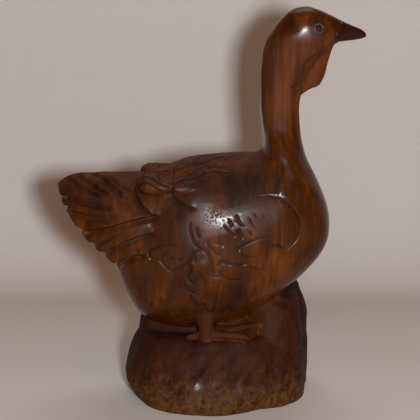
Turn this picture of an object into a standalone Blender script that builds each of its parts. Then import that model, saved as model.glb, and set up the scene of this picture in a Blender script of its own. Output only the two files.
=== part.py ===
# Goose figurine: a standing goose carved with its rock from one block of hardwood.
# Metres, +Z up, +X towards the beak, origin on the floor under the middle of the rock.
import bpy
import bmesh
import math
import numpy as np
from mathutils import Matrix, Vector
from mathutils import noise
from mathutils.bvhtree import BVHTree

mm = 0.001

# The rock
rock_length = 98 * mm
rock_depth = 81 * mm
rock_height = 37 * mm
rock_front = 52.5 * mm
rock_foundation = 6 * mm
boulder_rise = 25 * mm
seat_rise = 6 * mm
rock_roughness = 0.8 * mm

# The goose
body_length = 113.5 * mm
body_height = 95.5 * mm
body_width = 67 * mm
body_rear = -49.5 * mm
belly_clearance = 0.5 * mm
neck_height = 46 * mm
neck_width = 20 * mm
head_length = 54.5 * mm
head_height = 31 * mm
head_width = 21.5 * mm
dewlap_width = 9 * mm
eye_radius = 1.7 * mm
eye_depth = 0.8 * mm

# The folded wings, whose ends lie over the root of the tail
wing_end_spread = 15.5 * mm
wing_end_width = 8.5 * mm
wing_end_height = 4.6 * mm

# The tail
tail_length = 45.5 * mm
tail_drop = 52 * mm
tail_width = 56 * mm
tail_thickness = 7 * mm
tail_tip_thickness = 3.6 * mm
notch_depth = 2.2 * mm

# The legs and webbed feet
leg_width = 8.4 * mm
leg_height = 18 * mm
leg_spread = 21 * mm
heel_x = -2 * mm
foot_length = 29 * mm
foot_width = 19.2 * mm
foot_climb = 7.5 * mm
toe_thickness = 4.2 * mm
hind_toe_length = 10.5 * mm
web_thickness = 1.8 * mm
web_depth = 5 * mm

# The height and distance from which the carver drew the lines on the block
sight_distance = 780 * mm
sight_height = 285 * mm

# The fineness of the surface
voxel = 1.1 * mm
ring_sides = 48
triangle_budget = 11500

node_name = "goose_figurine"
belly_z = rock_height + belly_clearance
back_z = belly_z + body_height
head_z = back_z + neck_height
shoulder_x = body_rear + 0.674 * body_length
sight = Vector((0.0, -sight_distance, sight_height))


def in_body(u, v):
    return Vector((body_rear + u / 100 * body_length, 0, belly_z + v / 100 * body_height))


def in_neck(u, v):
    return Vector((shoulder_x + u / 100 * head_length, 0, back_z + v / 100 * neck_height))


def in_head(u, v):
    return Vector((shoulder_x + u / 100 * head_length, 0, head_z + v / 100 * head_height))


def in_tail(u, v):
    root = in_body(12, 89.5)
    return Vector((root.x - u / 100 * tail_length, 0, root.z - v / 100 * tail_drop))


def in_rock(u, v):
    return Vector((rock_front - rock_length * (1 - u / 100), 0, v / 100 * rock_height))


# Smooth curve through a row of points, each a tuple of numbers
def smooth_row(points, steps):
    rows = np.array(points, dtype=float)
    padded = np.vstack([2 * rows[0] - rows[1], rows, 2 * rows[-1] - rows[-2]])
    out = []
    for i in range(1, len(padded) - 2):
        before, start, end, after = padded[i - 1:i + 3]
        for k in range(steps):
            t = k / steps
            out.append(0.5 * (2 * start + (end - before) * t
                              + (2 * before - 5 * start + 4 * end - after) * t * t
                              + (3 * start - before - 3 * end + after) * t ** 3))
    out.append(rows[-1])
    return np.array(out)


def add_ring(mesh, centre, up, side, fullness=2.0):
    made = bmesh.ops.create_circle(mesh, segments=ring_sides, radius=1.0)
    power = 2 / fullness
    for vert in made["verts"]:
        across = math.copysign(abs(vert.co.x) ** power, vert.co.x)
        along = math.copysign(abs(vert.co.y) ** power, vert.co.y)
        vert.co = centre + up * along + side * across
    return list({edge for vert in made["verts"] for edge in vert.link_edges})


def bridge_rings(mesh, rings):
    for low, high in zip(rings, rings[1:]):
        bmesh.ops.bridge_loops(mesh, edges=low + high)
    for ring in (rings[0], rings[-1]):
        bmesh.ops.contextual_create(mesh, geom=ring)


# A closed loft whose stations are back point, belly point and half width
def loft_profile(mesh, stations, fullness=2.0):
    rings = []
    for back_x, back_h, belly_x, belly_h, half_width in smooth_row(stations, 3):
        back = Vector((back_x, 0, back_h))
        belly = Vector((belly_x, 0, belly_h))
        rings.append(add_ring(mesh, (back + belly) / 2, (back - belly) / 2,
                              Vector((0, half_width, 0)), fullness))
    bridge_rings(mesh, rings)


def station(back, belly, half_width):
    return (back.x, back.z, belly.x, belly.z, half_width)


# Body, neck and head are one loft that turns upwards at the breast
def add_body(mesh):
    half = body_width / 2
    neck = neck_width / 2
    head = head_width / 2
    body = [
        ((-9, 69), (-8, 60), 0.12), ((-5.5, 77), (-3.6, 46), 0.42), ((-0.5, 83), (0.4, 32.5), 0.66),
        ((6.5, 86.5), (4.4, 20), 0.80), ((14, 88.4), (9.4, 10), 0.90), ((22, 91.3), (15.5, 4.5), 0.96),
        ((28, 94.7), (21, 2.4), 1.0), ((34, 97.1), (27, 1.2), 1.02), ((41, 98.3), (35, 0.3), 1.02),
        ((49, 99.2), (49, 1.5), 1.0), ((55, 99.7), (61, 7), 0.97), ((59.5, 99.8), (72, 15), 0.94),
        ((63.5, 99.8), (80.5, 23.5), 0.90), ((66.5, 100.6), (89, 33), 0.84), ((68.5, 103.8), (96.5, 44), 0.76),
        ((68.7, 109.5), (99.8, 55), 0.66), ((68.3, 115.5), (99, 69), 0.56), ((67.8, 121), (94.5, 83), 0.46),
    ]
    throat = [
        ((0.0, 53), (45.5, -9), 1.20), ((-0.2, 67), (40, 12), 1.07), ((-0.4, 80), (37, 37), 1.0),
        ((-0.4, 91), (37, 60), 0.98),
    ]
    skull = [
        ((0.1, 2), (42, -27), 0.93), ((2.8, 35), (48, -8), 0.98), ((12, 66), (54.5, 10), 1.02),
        ((26, 91.5), (62, 25), 0.98), ((41, 99.5), (67.5, 34), 0.89), ((53, 95), (71.5, 39), 0.77),
        ((64.5, 86.5), (74.5, 41), 0.62), ((74.5, 77.5), (78, 41.5), 0.47), ((85.5, 68.5), (86, 43), 0.34),
        ((94.5, 62), (94.5, 45.5), 0.22), ((99.8, 55), (99.8, 48.5), 0.10),
    ]
    stations = [station(in_body(*d), in_body(*v), w * half) for d, v, w in body]
    stations += [station(in_neck(*d), in_neck(*v), w * neck) for d, v, w in throat]
    stations += [station(in_head(*d), in_head(*v), w * head) for d, v, w in skull]
    loft_profile(mesh, stations, 2.15)


# The loose skin that hangs from the jaw down the front of the neck
def add_dewlap(mesh):
    half = dewlap_width / 2
    shape = [
        ((48, 42), (70, 40), 0.8), ((44, 24), (66.5, 24), 0.95), ((41, 4), (63, 2), 1.0),
        ((38, -16), (60.5, -16), 0.98), ((36, -33), (55.5, -32.5), 0.85), ((34, -46), (47, -38.5), 0.7),
        ((33, -56), (38, -49), 0.4),
    ]
    loft_profile(mesh, [station(in_head(*d), in_head(*v), w * half) for d, v, w in shape])


# A flat dome on each side, sunk into the cheek where the sight line meets it
def add_eyes(mesh, tree):
    target = in_head(54.3, 62.8)
    place, facing = tree.ray_cast(sight, (target - sight).normalized())[:2]
    for side in (1, -1):
        spot = Vector((place.x, side * place.y, place.z))
        turn = Vector((facing.x, side * facing.y, facing.z)).to_track_quat("Z", "X")
        frame = Matrix.Translation(spot) @ turn.to_matrix().to_4x4()
        flat = Matrix.Diagonal((1, 1, eye_depth / eye_radius, 1))
        bmesh.ops.create_uvsphere(mesh, u_segments=16, v_segments=10, radius=eye_radius, matrix=frame @ flat)


# Each folded wing ends in a low roll beside the ridge of the tail
def add_wing_end(mesh, side):
    rolls = [((10.6, 85.3), 0.20, 0.30), ((11.6, 85.6), 0.60, 0.70), ((14, 85.6), 0.92, 0.95),
             ((18, 85.3), 1.0, 1.0), ((29, 84.5), 1.0, 1.0), ((36, 84), 0.9, 0.9), ((44, 82), 0.6, 0.7)]
    rings = []
    for (u, v), height_share, width_share in rolls:
        centre = in_body(u, v)
        centre.y = side * wing_end_spread * (1 + 0.004 * (u - 10))
        rings.append(add_ring(mesh, centre, Vector((0, 0, wing_end_height * height_share)),
                              Vector((0, wing_end_width * width_share, 0)), 2.2))
    bridge_rings(mesh, rings)


# Points of one arc of the fan, mirrored so that it runs from flank over the ridge to flank
def full_arc(frame_point, shares):
    near = []
    for u, v, width_share in shares:
        point = frame_point(u, v)
        near.append((point.x, width_share * tail_width / 2, point.z))
    near = smooth_row(near, 10)
    return np.vstack([near[:0:-1] * np.array([1, -1, 1]), near])


# The tail is a fan with a ridge, whose two halves droop like a roof.
# Each arc runs from the ridge down to the lowest feather of one half.
def add_tail(mesh):
    arcs = [
        full_arc(in_body, [(20, 89.5, 0), (20, 87, 0.36), (19, 80.5, 0.72), (16, 68, 0.97), (13, 47, 1.04)]),
        full_arc(in_tail, [(64, 1.2, 0), (55, 7.6, 0.37), (46, 24.4, 0.72), (35, 47, 0.94), (18, 77, 1.03)]),
        full_arc(in_tail, [(86, 4, 0), (78.5, 12, 0.36), (68, 28.5, 0.68), (51.5, 54, 0.88), (26, 80.3, 1.0)]),
        full_arc(in_tail, [(100.3, 12.5, 0), (95.8, 21.5, 0.34), (86, 36.5, 0.62), (63.2, 62.2, 0.83),
                           (31.8, 84, 0.97)]),
    ]
    notches = (0.27, 0.43, 0.66, 0.80, 0.90)
    last = len(arcs[0]) - 1
    rows = 9
    for i in range(last + 1):
        share = abs(2 * i / last - 1)
        pull = sum(math.exp(-((share - n) / 0.028) ** 2) for n in notches)
        back = arcs[1][i] - arcs[-1][i]
        arcs[-1][i] += back / np.linalg.norm(back) * pull * notch_depth
    grid = bmesh.ops.create_grid(mesh, x_segments=last, y_segments=rows, size=0.5)
    top_verts = grid["verts"]
    for vert in top_verts:
        i = round((vert.co.x + 0.5) * last)
        k = round((vert.co.y + 0.5) * rows)
        column = smooth_row([arc[i] for arc in arcs], rows // 3)
        vert.co = Vector(column[k])
    top_faces = list({face for vert in top_verts for face in vert.link_faces})
    for face in top_faces:
        face.normal_update()
    if sum(face.normal.z for face in top_faces) < 0:
        bmesh.ops.reverse_faces(mesh, faces=top_faces)
    for vert in top_verts:
        vert.normal_update()
    rim_points = [Vector(p) for p in arcs[-1]]
    top_edges = list({edge for face in top_faces for edge in face.edges})
    made = bmesh.ops.duplicate(mesh, geom=list(top_verts) + top_edges + top_faces)["geom"]
    low_faces = [g for g in made if isinstance(g, bmesh.types.BMFace)]
    for vert in [g for g in made if isinstance(g, bmesh.types.BMVert)]:
        inward = min((vert.co - p).length for p in rim_points)
        grown = min(1.0, inward / (0.6 * tail_length))
        vert.co -= vert.normal * (tail_tip_thickness + (tail_thickness - tail_tip_thickness) * grown)
    bmesh.ops.reverse_faces(mesh, faces=low_faces)
    rim = {edge for face in top_faces + low_faces for edge in face.edges if edge.is_boundary}
    bmesh.ops.bridge_loops(mesh, edges=list(rim))


# How a lump of rock narrows with height: share of the half length, of the half depth, of the height
block_sides = [(0.79, 0.93, 0.0), (0.865, 0.985, 0.12), (0.94, 1.0, 0.21), (1.015, 0.985, 0.33),
               (1.03, 0.955, 0.44), (1.01, 0.89, 0.60), (0.97, 0.80, 0.77), (0.915, 0.70, 0.90),
               (0.83, 0.60, 0.975), (0.45, 0.34, 1.0)]
slab_sides = [(0.93, 0.97, 0.0), (0.985, 1.0, 0.10), (1.0, 0.99, 0.28), (0.99, 0.95, 0.50), (0.955, 0.87, 0.72),
              (0.90, 0.76, 0.89), (0.78, 0.62, 0.975), (0.45, 0.36, 1.0)]
boulder_sides = [(0.93, 0.97, 0.0), (0.98, 1.0, 0.10), (1.0, 0.99, 0.30), (1.0, 0.96, 0.55), (0.97, 0.88, 0.70),
                 (0.85, 0.76, 0.81), (0.69, 0.62, 0.90), (0.50, 0.46, 0.965), (0.30, 0.26, 1.0)]


def add_lump(mesh, sides, centre, half_length, half_depth, bottom, top, fullness, lean=(0, 0), turn=0):
    rings = []
    spin = Matrix.Rotation(math.radians(turn), 3, "Z")
    for long_share, deep_share, height in smooth_row(sides, 2):
        middle = Vector((centre[0] + lean[0] * height, centre[1] + lean[1] * height,
                         bottom + (top - bottom) * height))
        rings.append(add_ring(mesh, middle, spin @ Vector((0, half_depth * deep_share, 0)),
                              spin @ Vector((half_length * long_share, 0, 0)), fullness))
    bridge_rings(mesh, rings)


# The standing block, the front slab, two boulders at the breast and the seat under the feet
def add_rock(mesh):
    half_length = rock_length / 2
    half_depth = rock_depth / 2
    middle = rock_front - half_length
    under = -rock_foundation
    inside = rock_height * 0.1
    under_seat = rock_height * 0.5
    add_lump(mesh, block_sides, (middle - 0.10 * half_length, 0), half_length * 0.90, half_depth,
             under, rock_height, 2.15, (0.03 * half_length, 0), -4)
    add_lump(mesh, slab_sides, (middle + 0.41 * half_length, 0.02 * half_depth), half_length * 0.57,
             half_depth * 0.77, under, rock_height * 0.96, 2.0, (0.015 * half_length, 0.05 * half_depth), 5)
    add_lump(mesh, slab_sides, (middle + 0.64 * half_length, 0.06 * half_depth), half_length * 0.35,
             half_depth * 0.57, inside, rock_height + boulder_rise * 0.80, 2.1,
             (-0.05 * half_length, 0.06 * half_depth))
    add_lump(mesh, boulder_sides, (middle + 0.70 * half_length, 0.42 * half_depth), half_length * 0.335,
             half_depth * 0.45, under, rock_height + boulder_rise * 1.05, 2.1, (-0.01 * half_length, 0))
    add_lump(mesh, slab_sides, (middle - 0.12 * half_length, 0.12 * half_depth), half_length * 0.70,
             half_depth * 0.5, under_seat, rock_height + seat_rise, 2.2)
    add_lump(mesh, slab_sides, (middle - 0.585 * half_length, 0.20 * half_depth), half_length * 0.285,
             half_depth * 0.34, under_seat, rock_height + seat_rise * 1.7, 2.1)


# A round limb through points that are given with their radius
def add_limb(mesh, path, flat=1.0):
    rings = []
    for i, (point, radius) in enumerate(path):
        ahead = (path[min(i + 1, len(path) - 1)][0] - path[max(i - 1, 0)][0]).normalized()
        side = ahead.cross(Vector((0, 0, 1)) if abs(ahead.z) < 0.8 else Vector((1, 0, 0))).normalized()
        rings.append(add_ring(mesh, point, side.cross(ahead) * radius * flat, side * radius))
    bridge_rings(mesh, rings)


# A short leg, three toes that fan out forward, the web between them and a hind toe.
# The toes climb towards the middle with the rock; each is share of length, outward share, climb share.
def add_leg(mesh, side):
    heel = Vector((heel_x, side * leg_spread, rock_height))
    shin = leg_width / 2
    toe = toe_thickness / 2
    inward = Vector((0, -side * leg_spread, 0))
    up = Vector((0, 0, 1))
    add_limb(mesh, [(heel - up * 0.5 * shin, shin * 0.95), (heel + up * 0.25 * shin, shin),
                    (heel + up * 0.28 * leg_height, shin * 0.95),
                    (heel + inward * 0.03 + up * 0.55 * leg_height, shin * 1.15),
                    (heel + inward * 0.14 + up * leg_height, shin * 1.9)])
    tips = []
    for reach, outward, climb in ((0.71, 0.17, 0.08), (1.0, -0.42, 0.48), (0.81, -0.83, 1.0)):
        tip = heel + Vector((reach * foot_length, side * outward * foot_width, climb * foot_climb))
        tips.append(tip)
        ahead = (tip - heel).normalized()
        add_limb(mesh, [(heel - ahead * toe * 1.2 + up * toe * 0.5, toe),
                        (heel + ahead * toe * 0.7 + up * toe * 0.9, toe * 1.35),
                        (heel.lerp(tip, 0.5) + up * toe * 0.7, toe), (tip + up * toe * 0.45, toe),
                        (tip + ahead * toe * 0.9 - up * toe * 0.1, toe * 0.72)], 0.92)
    for first, second in zip(tips, tips[1:]):
        notch = first.lerp(second, 0.5).lerp(heel, 0.1)
        web = []
        for point in (heel, first, notch, second):
            for height in (-web_depth, web_thickness):
                web.append(mesh.verts.new((point.x, point.y, point.z + height)))
        bmesh.ops.convex_hull(mesh, input=web)
    back = Vector((-hind_toe_length, 0, 0))
    add_limb(mesh, [(heel + up * toe * 0.8, toe), (heel + back * 0.57 + up * toe * 0.6, toe * 0.85),
                    (heel + back + up * toe * 0.1, toe * 0.5)], 0.92)


# The carver's tools, in mm: depth, width of the steep side and of the other side,
# and how far the raised side stands up
tools = {
    "hair": (0.3, 0.8, 0.8, 0.0),
    "soft": (0.4, 1.6, 1.6, 0.0),
    "fine": (0.6, 0.9, 1.1, 0.0),
    "cut": (0.8, 0.9, 1.4, 0.2),
    "nick": (1.0, 1.2, 1.2, 0.0),
    "step": (0.8, 1.0, 2.6, 0.7),
    "deep": (1.4, 1.2, 3.0, 1.0),
    "valley": (1.3, 2.0, 2.0, 0.0),
    "furrow": (0.7, 3.2, 3.2, 0.0),
    "scoop": (2.1, 4.4, 5.2, 0.0),
}
lip_fade = 8.0

# The drawing, on the middle plane as seen from the sight point.
# Each line: tool, raised side, frame and a few points in percent of that frame.
drawing = [
    ("deep", "above", in_tail, [(77.5, 65.5), (37.5, 60), (-13.5, 48), (-21.5, 48)]),
    ("step", "below", in_tail, [(45.5, 2), (28.5, 15), (15.5, 20.5), (11, 20)]),
    ("valley", "", in_tail, [(62, 0), (48, 8), (24, 28.5)]),
    ("valley", "", in_tail, [(79.5, 1.5), (68.5, 10), (40.5, 26.5)]),
    ("valley", "", in_tail, [(91.5, 6.5), (49.5, 29)]),
    ("furrow", "", in_tail, [(98.5, 16), (82.5, 21.5), (61.5, 23.5)]),
    ("valley", "", in_tail, [(96.5, 27), (37, 40.5)]),
    ("valley", "", in_tail, [(91.5, 42), (42, 55)]),
    ("cut", "above", in_tail, [(62.5, 81), (26.5, 65)]),
    ("step", "above", in_tail, [(49.5, 88.5), (15, 73.5), (-14.5, 65)]),
    ("deep", "above", in_tail, [(34.5, 100), (9.5, 91), (-4.5, 91.5)]),
    ("cut", "", in_tail, [(3.5, 80), (11.5, 89.5)]),
    ("deep", "ahead", in_body, [(10.5, 86), (8.5, 81.5), (8.5, 75), (12, 68), (17, 63)]),
    ("step", "below", in_body, [(9.5, 78), (11.5, 81.5), (13, 82.5), (15.5, 81.5), (20, 77.5), (25, 76.5)]),
    ("cut", "below", in_body, [(9.5, 84), (13.5, 85.5), (25.5, 79.5)]),
    ("cut", "above", in_body, [(11, 89.5), (25, 90)]),
    ("fine", "", in_body, [(19, 87.5), (20, 83.5)]),
    ("fine", "", in_body, [(20, 85.5), (25, 87.5)]),
    ("fine", "", in_body, [(21, 83.5), (25.5, 86)]),
    ("step", "ahead", in_body, [(26.5, 91.5), (26, 81)]),
    ("fine", "above", in_body, [(27, 86), (34.5, 90)]),
    ("fine", "above", in_body, [(27, 84), (38, 88.5)]),
    ("cut", "above", in_body, [(27, 82), (29.5, 83.5), (36.5, 85.5), (41.5, 89), (45, 89.5), (55, 89)]),
    ("cut", "above", in_body, [(35.5, 92), (47.5, 97), (56, 98.5)]),
    ("fine", "", in_body, [(35.5, 92.5), (39.5, 97.5), (46, 99)]),
    ("fine", "above", in_body, [(35.5, 90), (54, 97)]),
    ("cut", "", in_body, [(42, 91.5), (52.5, 92)]),
    ("cut", "above", in_body, [(27, 90.5), (29.5, 91), (35, 94.5)]),
    ("furrow", "", in_body, [(46.5, 89), (49.5, 87.5), (55, 81.5)]),
    ("furrow", "", in_body, [(37, 84.5), (44, 81.5), (49, 76)]),
    ("step", "ahead", in_body, [(26.5, 81.5), (26, 76), (27, 73.5), (31.5, 69.5), (37, 68)]),
    ("deep", "behind", in_body, [(65, 74), (71, 75), (78, 73), (84, 66), (85.5, 62.5), (86, 58.5),
     (85, 51.5), (78.5, 42)]),
    ("fine", "", in_body, [(34, 60), (35, 51), (36.5, 47.5), (40.5, 43.5)]),
    ("fine", "", in_body, [(37, 58), (38.5, 50.5)]),
    ("fine", "above", in_body, [(42, 49), (44, 45), (49, 39.5)]),
    ("fine", "below", in_body, [(45.5, 48), (50.5, 46)]),
    ("cut", "below", in_body, [(57.5, 42.5), (59.5, 46.5), (62, 48), (69.5, 51), (71, 49.5)]),
    ("fine", "above", in_body, [(58.5, 42), (63.5, 40), (68, 41.5)]),
    ("cut", "", in_body, [(72.5, 48), (74, 46.5), (75.5, 46.5), (79, 44.5)]),
    ("cut", "below", in_body, [(47, 33), (47.5, 35), (49.5, 36.5), (59, 35), (61.5, 36.5)]),
    ("fine", "above", in_body, [(47, 33), (49.5, 28.5), (52.5, 27), (60.5, 26.5)]),
    ("fine", "above", in_body, [(62, 35.5), (67, 33), (70.5, 32.5)]),
    ("nick", "", in_body, [(44.5, 33.5), (45, 29)]),
    ("fine", "", in_body, [(43.5, 28), (49.5, 28)]),
    ("nick", "", in_body, [(52, 62.5), (54.5, 56.5)]),
    ("nick", "", in_body, [(56.5, 65.5), (58, 59.5), (61, 57)]),
    ("nick", "", in_body, [(61, 65), (66.5, 52.5)]),
    ("nick", "", in_body, [(63.5, 67.5), (68, 58.5)]),
    ("nick", "", in_body, [(67.5, 65.5), (70, 60)]),
    ("nick", "", in_body, [(72, 62.5), (74, 58)]),
    ("nick", "", in_body, [(77, 58), (79, 53)]),
    ("nick", "", in_body, [(49.5, 59), (56.5, 51)]),
    ("fine", "", in_body, [(57.5, 56.5), (59.5, 50)]),
    ("nick", "", in_body, [(61.5, 55.5), (63.5, 50.5)]),
    ("fine", "", in_body, [(69.5, 58), (70, 54)]),
    ("fine", "", in_body, [(73.5, 54.5), (74.5, 50.5)]),
    ("fine", "", in_body, [(76, 55.5), (77, 51.5)]),
    ("fine", "", in_body, [(21.5, 37), (20, 39.5), (23.5, 43.5)]),
    ("nick", "", in_body, [(23.5, 36.5), (27, 41)]),
    ("nick", "", in_body, [(28, 36), (30.5, 40)]),
    ("cut", "below", in_body, [(14, 40), (16.5, 44.5), (19, 46), (28, 46.5)]),
    ("cut", "above", in_body, [(14, 40), (20, 37.5), (23, 33), (25.5, 32), (31, 34.5), (33.5, 37.5),
     (35.5, 41.5)]),
    ("cut", "below", in_body, [(33.5, 36.5), (34.5, 40), (36, 42.5), (40.5, 43.5), (44, 39), (45, 31.5)]),
    ("step", "ahead", in_body, [(33.5, 36.5), (34.5, 32.5), (33.5, 27.5), (37, 23.5)]),
    ("fine", "", in_body, [(36.5, 42), (36.5, 36)]),
    ("cut", "ahead", in_body, [(34, 25.5), (32, 25.5), (31.5, 23.5), (32.5, 21), (37.5, 17.5)]),
    ("cut", "ahead", in_body, [(34.5, 18.5), (35.5, 13.5), (37.5, 11.5), (40, 11.5), (40.5, 13)]),
    ("cut", "above", in_body, [(40.5, 13), (41.5, 10), (45, 6.5)]),
    ("fine", "above", in_body, [(36, 33), (38.5, 30.5), (41.5, 22.5)]),
    ("fine", "", in_body, [(46.5, 19), (45, 7)]),
    ("fine", "", in_body, [(15.5, 18), (16, 8)]),
    ("furrow", "", in_body, [(71, 30), (67.5, 28.5), (59, 22), (54.5, 18.5), (52.5, 15)]),
    ("furrow", "", in_body, [(78, 101), (80.5, 77.5)]),
    ("furrow", "", in_body, [(82.5, 82), (84.5, 70.5)]),
    ("fine", "behind", in_head, [(76, 75.5), (71, 54.5), (73, 39)]),
    ("hair", "above", in_head, [(72, 45), (100.5, 48.5)]),
    ("step", "above", in_head, [(71, 32), (52, 18.5), (41, 4.5)]),
    ("cut", "behind", in_head, [(41.5, 5), (38, -54.5)]),
    ("fine", "above", in_head, [(27, -34), (31, -36), (39, -29.5)]),
    ("fine", "ahead", in_head, [(31, -58), (39, -38)]),
    ("soft", "", in_head, [(51, 46.5), (51.5, 28)]),
    ("soft", "", in_head, [(41.5, 43), (42.5, 23)]),
    ("soft", "", in_head, [(36, 46.5), (36, 24.5)]),
    ("soft", "", in_head, [(48, 3), (42, -17.5)]),
    ("scoop", "", in_rock, [(66.5, 70), (48, 25), (43, 8)]),
    ("scoop", "", in_rock, [(67.5, 62.5), (63.5, 45.5), (48, -1.5)]),
    ("scoop", "", in_rock, [(72, 61), (69.5, 45.5), (55.5, 2.5)]),
    ("scoop", "", in_rock, [(50, 51.5), (39, 32), (36.5, 19.5), (38, 4.5)]),
    ("scoop", "", in_rock, [(32, 29.5), (26.5, 22), (16, 1)]),
    ("scoop", "", in_rock, [(11, 51.5), (9.5, 37.5), (11, 11)]),
    ("scoop", "", in_rock, [(76, 47), (74.5, 33), (63.5, -1.5)]),
    ("scoop", "", in_rock, [(81.5, 44), (81, 29.5), (73.5, 6.5)]),
    ("scoop", "", in_rock, [(27.5, 6.5), (24, -14)]),
    ("furrow", "", in_rock, [(87.5, 88.5), (96, 58.5), (98, 44)]),
    ("furrow", "", in_rock, [(77, 145.5), (85, 137.5), (93, 125.5), (97.5, 110)]),
]
towards = {"above": Vector((0, 0, 1)), "below": Vector((0, 0, -1)), "ahead": Vector((1, 0, 0)),
           "behind": Vector((-1, 0, 0))}


# A drawn line carried from the sight point on to the surface of the block
def carry_line(tree, frame_point, points):
    carried = []
    for point in smooth_row([tuple(frame_point(u, v)) for u, v in points], 8):
        hit = tree.ray_cast(sight, (Vector(point) - sight).normalized())[0]
        if hit is not None:
            carried.append(tuple(hit))
    return np.array(carried)


# Distance to the line, the side of it on which a point lies, and how far along it
def near_line(points, normals, line):
    best = np.full(len(points), 1e9)
    side = np.zeros(len(points))
    along = np.zeros(len(points))
    walked = 0.0
    for start, end in zip(line, line[1:]):
        length = np.linalg.norm(end - start)
        if length == 0:
            continue
        run = (end - start) / length
        reach = np.clip((points - start) @ run, 0, length)
        away = points - start - reach[:, None] * run
        gap = np.einsum("ij,ij->i", away, away)
        closer = gap < best
        best[closer] = gap[closer]
        side[closer] = np.sign(np.einsum("ij,ij->i", away[closer], np.cross(normals[closer], run)))
        along[closer] = walked + reach[closer]
        walked += length
    return np.sqrt(best) / mm, side, along / mm, walked / mm


def raised_side(line, raised):
    if not raised:
        return 0
    middle = len(line) // 2
    run = line[middle] - line[middle - 1]
    return math.copysign(1, np.array([-run[2], 0, run[0]]) @ np.array(towards[raised]))


# Each line is cut on the near flank and mirrored on the far one
def carve(mesh):
    tree = BVHTree.FromBMesh(mesh)
    places = np.array([tuple(v.co) for v in mesh.verts])
    normals = np.array([tuple(v.normal) for v in mesh.verts])
    dip = np.zeros(len(places))
    rise = np.zeros(len(places))
    for tool_name, raised, frame_point, points in drawing:
        line = carry_line(tree, frame_point, points)
        if len(line) < 2:
            continue
        deep, wall, run_out, lift = tools[tool_name]
        turn = raised_side(line, raised)
        margin = (run_out + 2 * lip_fade * abs(turn)) * mm
        for flip in (1, -1):
            flank_line = line * np.array([1, flip, 1])
            low = flank_line.min(axis=0) - margin
            high = flank_line.max(axis=0) + margin
            near = np.nonzero(np.all((places > low) & (places < high), axis=1))[0]
            if len(near) == 0:
                continue
            gap, side, along, total = near_line(places[near], normals[near], flank_line)
            taper = np.clip(np.minimum(along, total - along) / (2 * wall) + 0.2, 0, 1)
            lifted = side * turn * flip > 0
            half = np.where(lifted, wall, run_out)
            dip[near] = np.maximum(dip[near], deep * taper * np.clip(1 - (gap / half) ** 2, 0, 1) ** 1.4)
            lip = lift * np.exp(-gap / lip_fade) * np.clip(gap / wall, 0, 1) * taper
            rise[near] = np.maximum(rise[near], np.where(lifted, lip, 0))
    moved = places + normals * ((rise - dip) * mm)[:, None]
    for vert, place in zip(mesh.verts, moved):
        vert.co = Vector(place)


# Low waves on the rock, so that its faces look hewn, but not under the feet
def roughen_rock(mesh):
    foot_front = heel_x + foot_length + 6 * mm
    for vert in mesh.verts:
        inward = min(1.0, max(0.0, (1.6 - vert.co.z / rock_height) / 0.5))
        on_seat = heel_x - hind_toe_length < vert.co.x < foot_front and abs(vert.co.y) < leg_spread * 1.5
        if inward == 0 or (on_seat and vert.co.z > rock_height * 0.9):
            continue
        lump = noise.noise(vert.co * 55 + Vector((3, 1, 7))) + 0.5 * noise.noise(vert.co * 120)
        vert.co = vert.co + vert.normal * lump * rock_roughness * inward


def evaluated_copy(body):
    bpy.context.view_layer.update()
    graph = bpy.context.evaluated_depsgraph_get()
    return bpy.data.meshes.new_from_object(body.evaluated_get(graph))


def swap_mesh(body, mesh):
    body.modifiers.clear()
    body.data = mesh


def wax_finish():
    finish = bpy.data.materials.new("waxed_hardwood")
    finish.use_nodes = True
    shader = finish.node_tree.nodes["Principled BSDF"]
    shader.inputs["Base Color"].default_value = (0.075, 0.022, 0.007, 1)
    shader.inputs["Roughness"].default_value = 0.34
    shader.inputs["Metallic"].default_value = 0.0
    return finish


def build_block():
    rough = bmesh.new()
    add_body(rough)
    bmesh.ops.recalc_face_normals(rough, faces=rough.faces)
    add_eyes(rough, BVHTree.FromBMesh(rough))
    add_dewlap(rough)
    add_tail(rough)
    add_rock(rough)
    for side in (-1, 1):
        add_wing_end(rough, side)
        add_leg(rough, side)
    bmesh.ops.recalc_face_normals(rough, faces=rough.faces)
    block = bpy.data.meshes.new(node_name)
    rough.to_mesh(block)
    rough.free()
    goose = bpy.data.objects.new(node_name, block)
    bpy.context.collection.objects.link(goose)
    return goose


# The pieces of the block grow into one skin
def grow_skin(goose):
    remesh = goose.modifiers.new("one_skin", "REMESH")
    remesh.mode = "VOXEL"
    remesh.voxel_size = voxel
    soften = goose.modifiers.new("soften_joins", "SMOOTH")
    soften.factor = 0.5
    soften.iterations = 3
    swap_mesh(goose, evaluated_copy(goose))


def carve_skin(goose):
    carved = bmesh.new()
    carved.from_mesh(goose.data)
    roughen_rock(carved)
    carved.normal_update()
    carve(carved)
    bmesh.ops.triangulate(carved, faces=carved.faces)
    skin = bpy.data.meshes.new(node_name)
    carved.to_mesh(skin)
    count = len(carved.faces)
    carved.free()
    swap_mesh(goose, skin)
    thin = goose.modifiers.new("fewer_faces", "DECIMATE")
    thin.ratio = min(1.0, triangle_budget / count)
    swap_mesh(goose, evaluated_copy(goose))


def saw_underside(goose):
    saw_kerf = 0.05 * mm
    sawn = bmesh.new()
    sawn.from_mesh(goose.data)
    bmesh.ops.bisect_plane(sawn, geom=sawn.verts[:] + sawn.edges[:] + sawn.faces[:], dist=saw_kerf / 2,
                           plane_co=(0, 0, 0), plane_no=(0, 0, -1), clear_outer=True)
    for vert in sawn.verts:
        if abs(vert.co.z) < saw_kerf:
            vert.co.z = 0
    bmesh.ops.holes_fill(sawn, edges=[e for e in sawn.edges if e.is_boundary])
    bmesh.ops.triangulate(sawn, faces=sawn.faces)
    bmesh.ops.recalc_face_normals(sawn, faces=sawn.faces)
    final = bpy.data.meshes.new(node_name)
    sawn.to_mesh(final)
    sawn.free()
    swap_mesh(goose, final)


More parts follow.
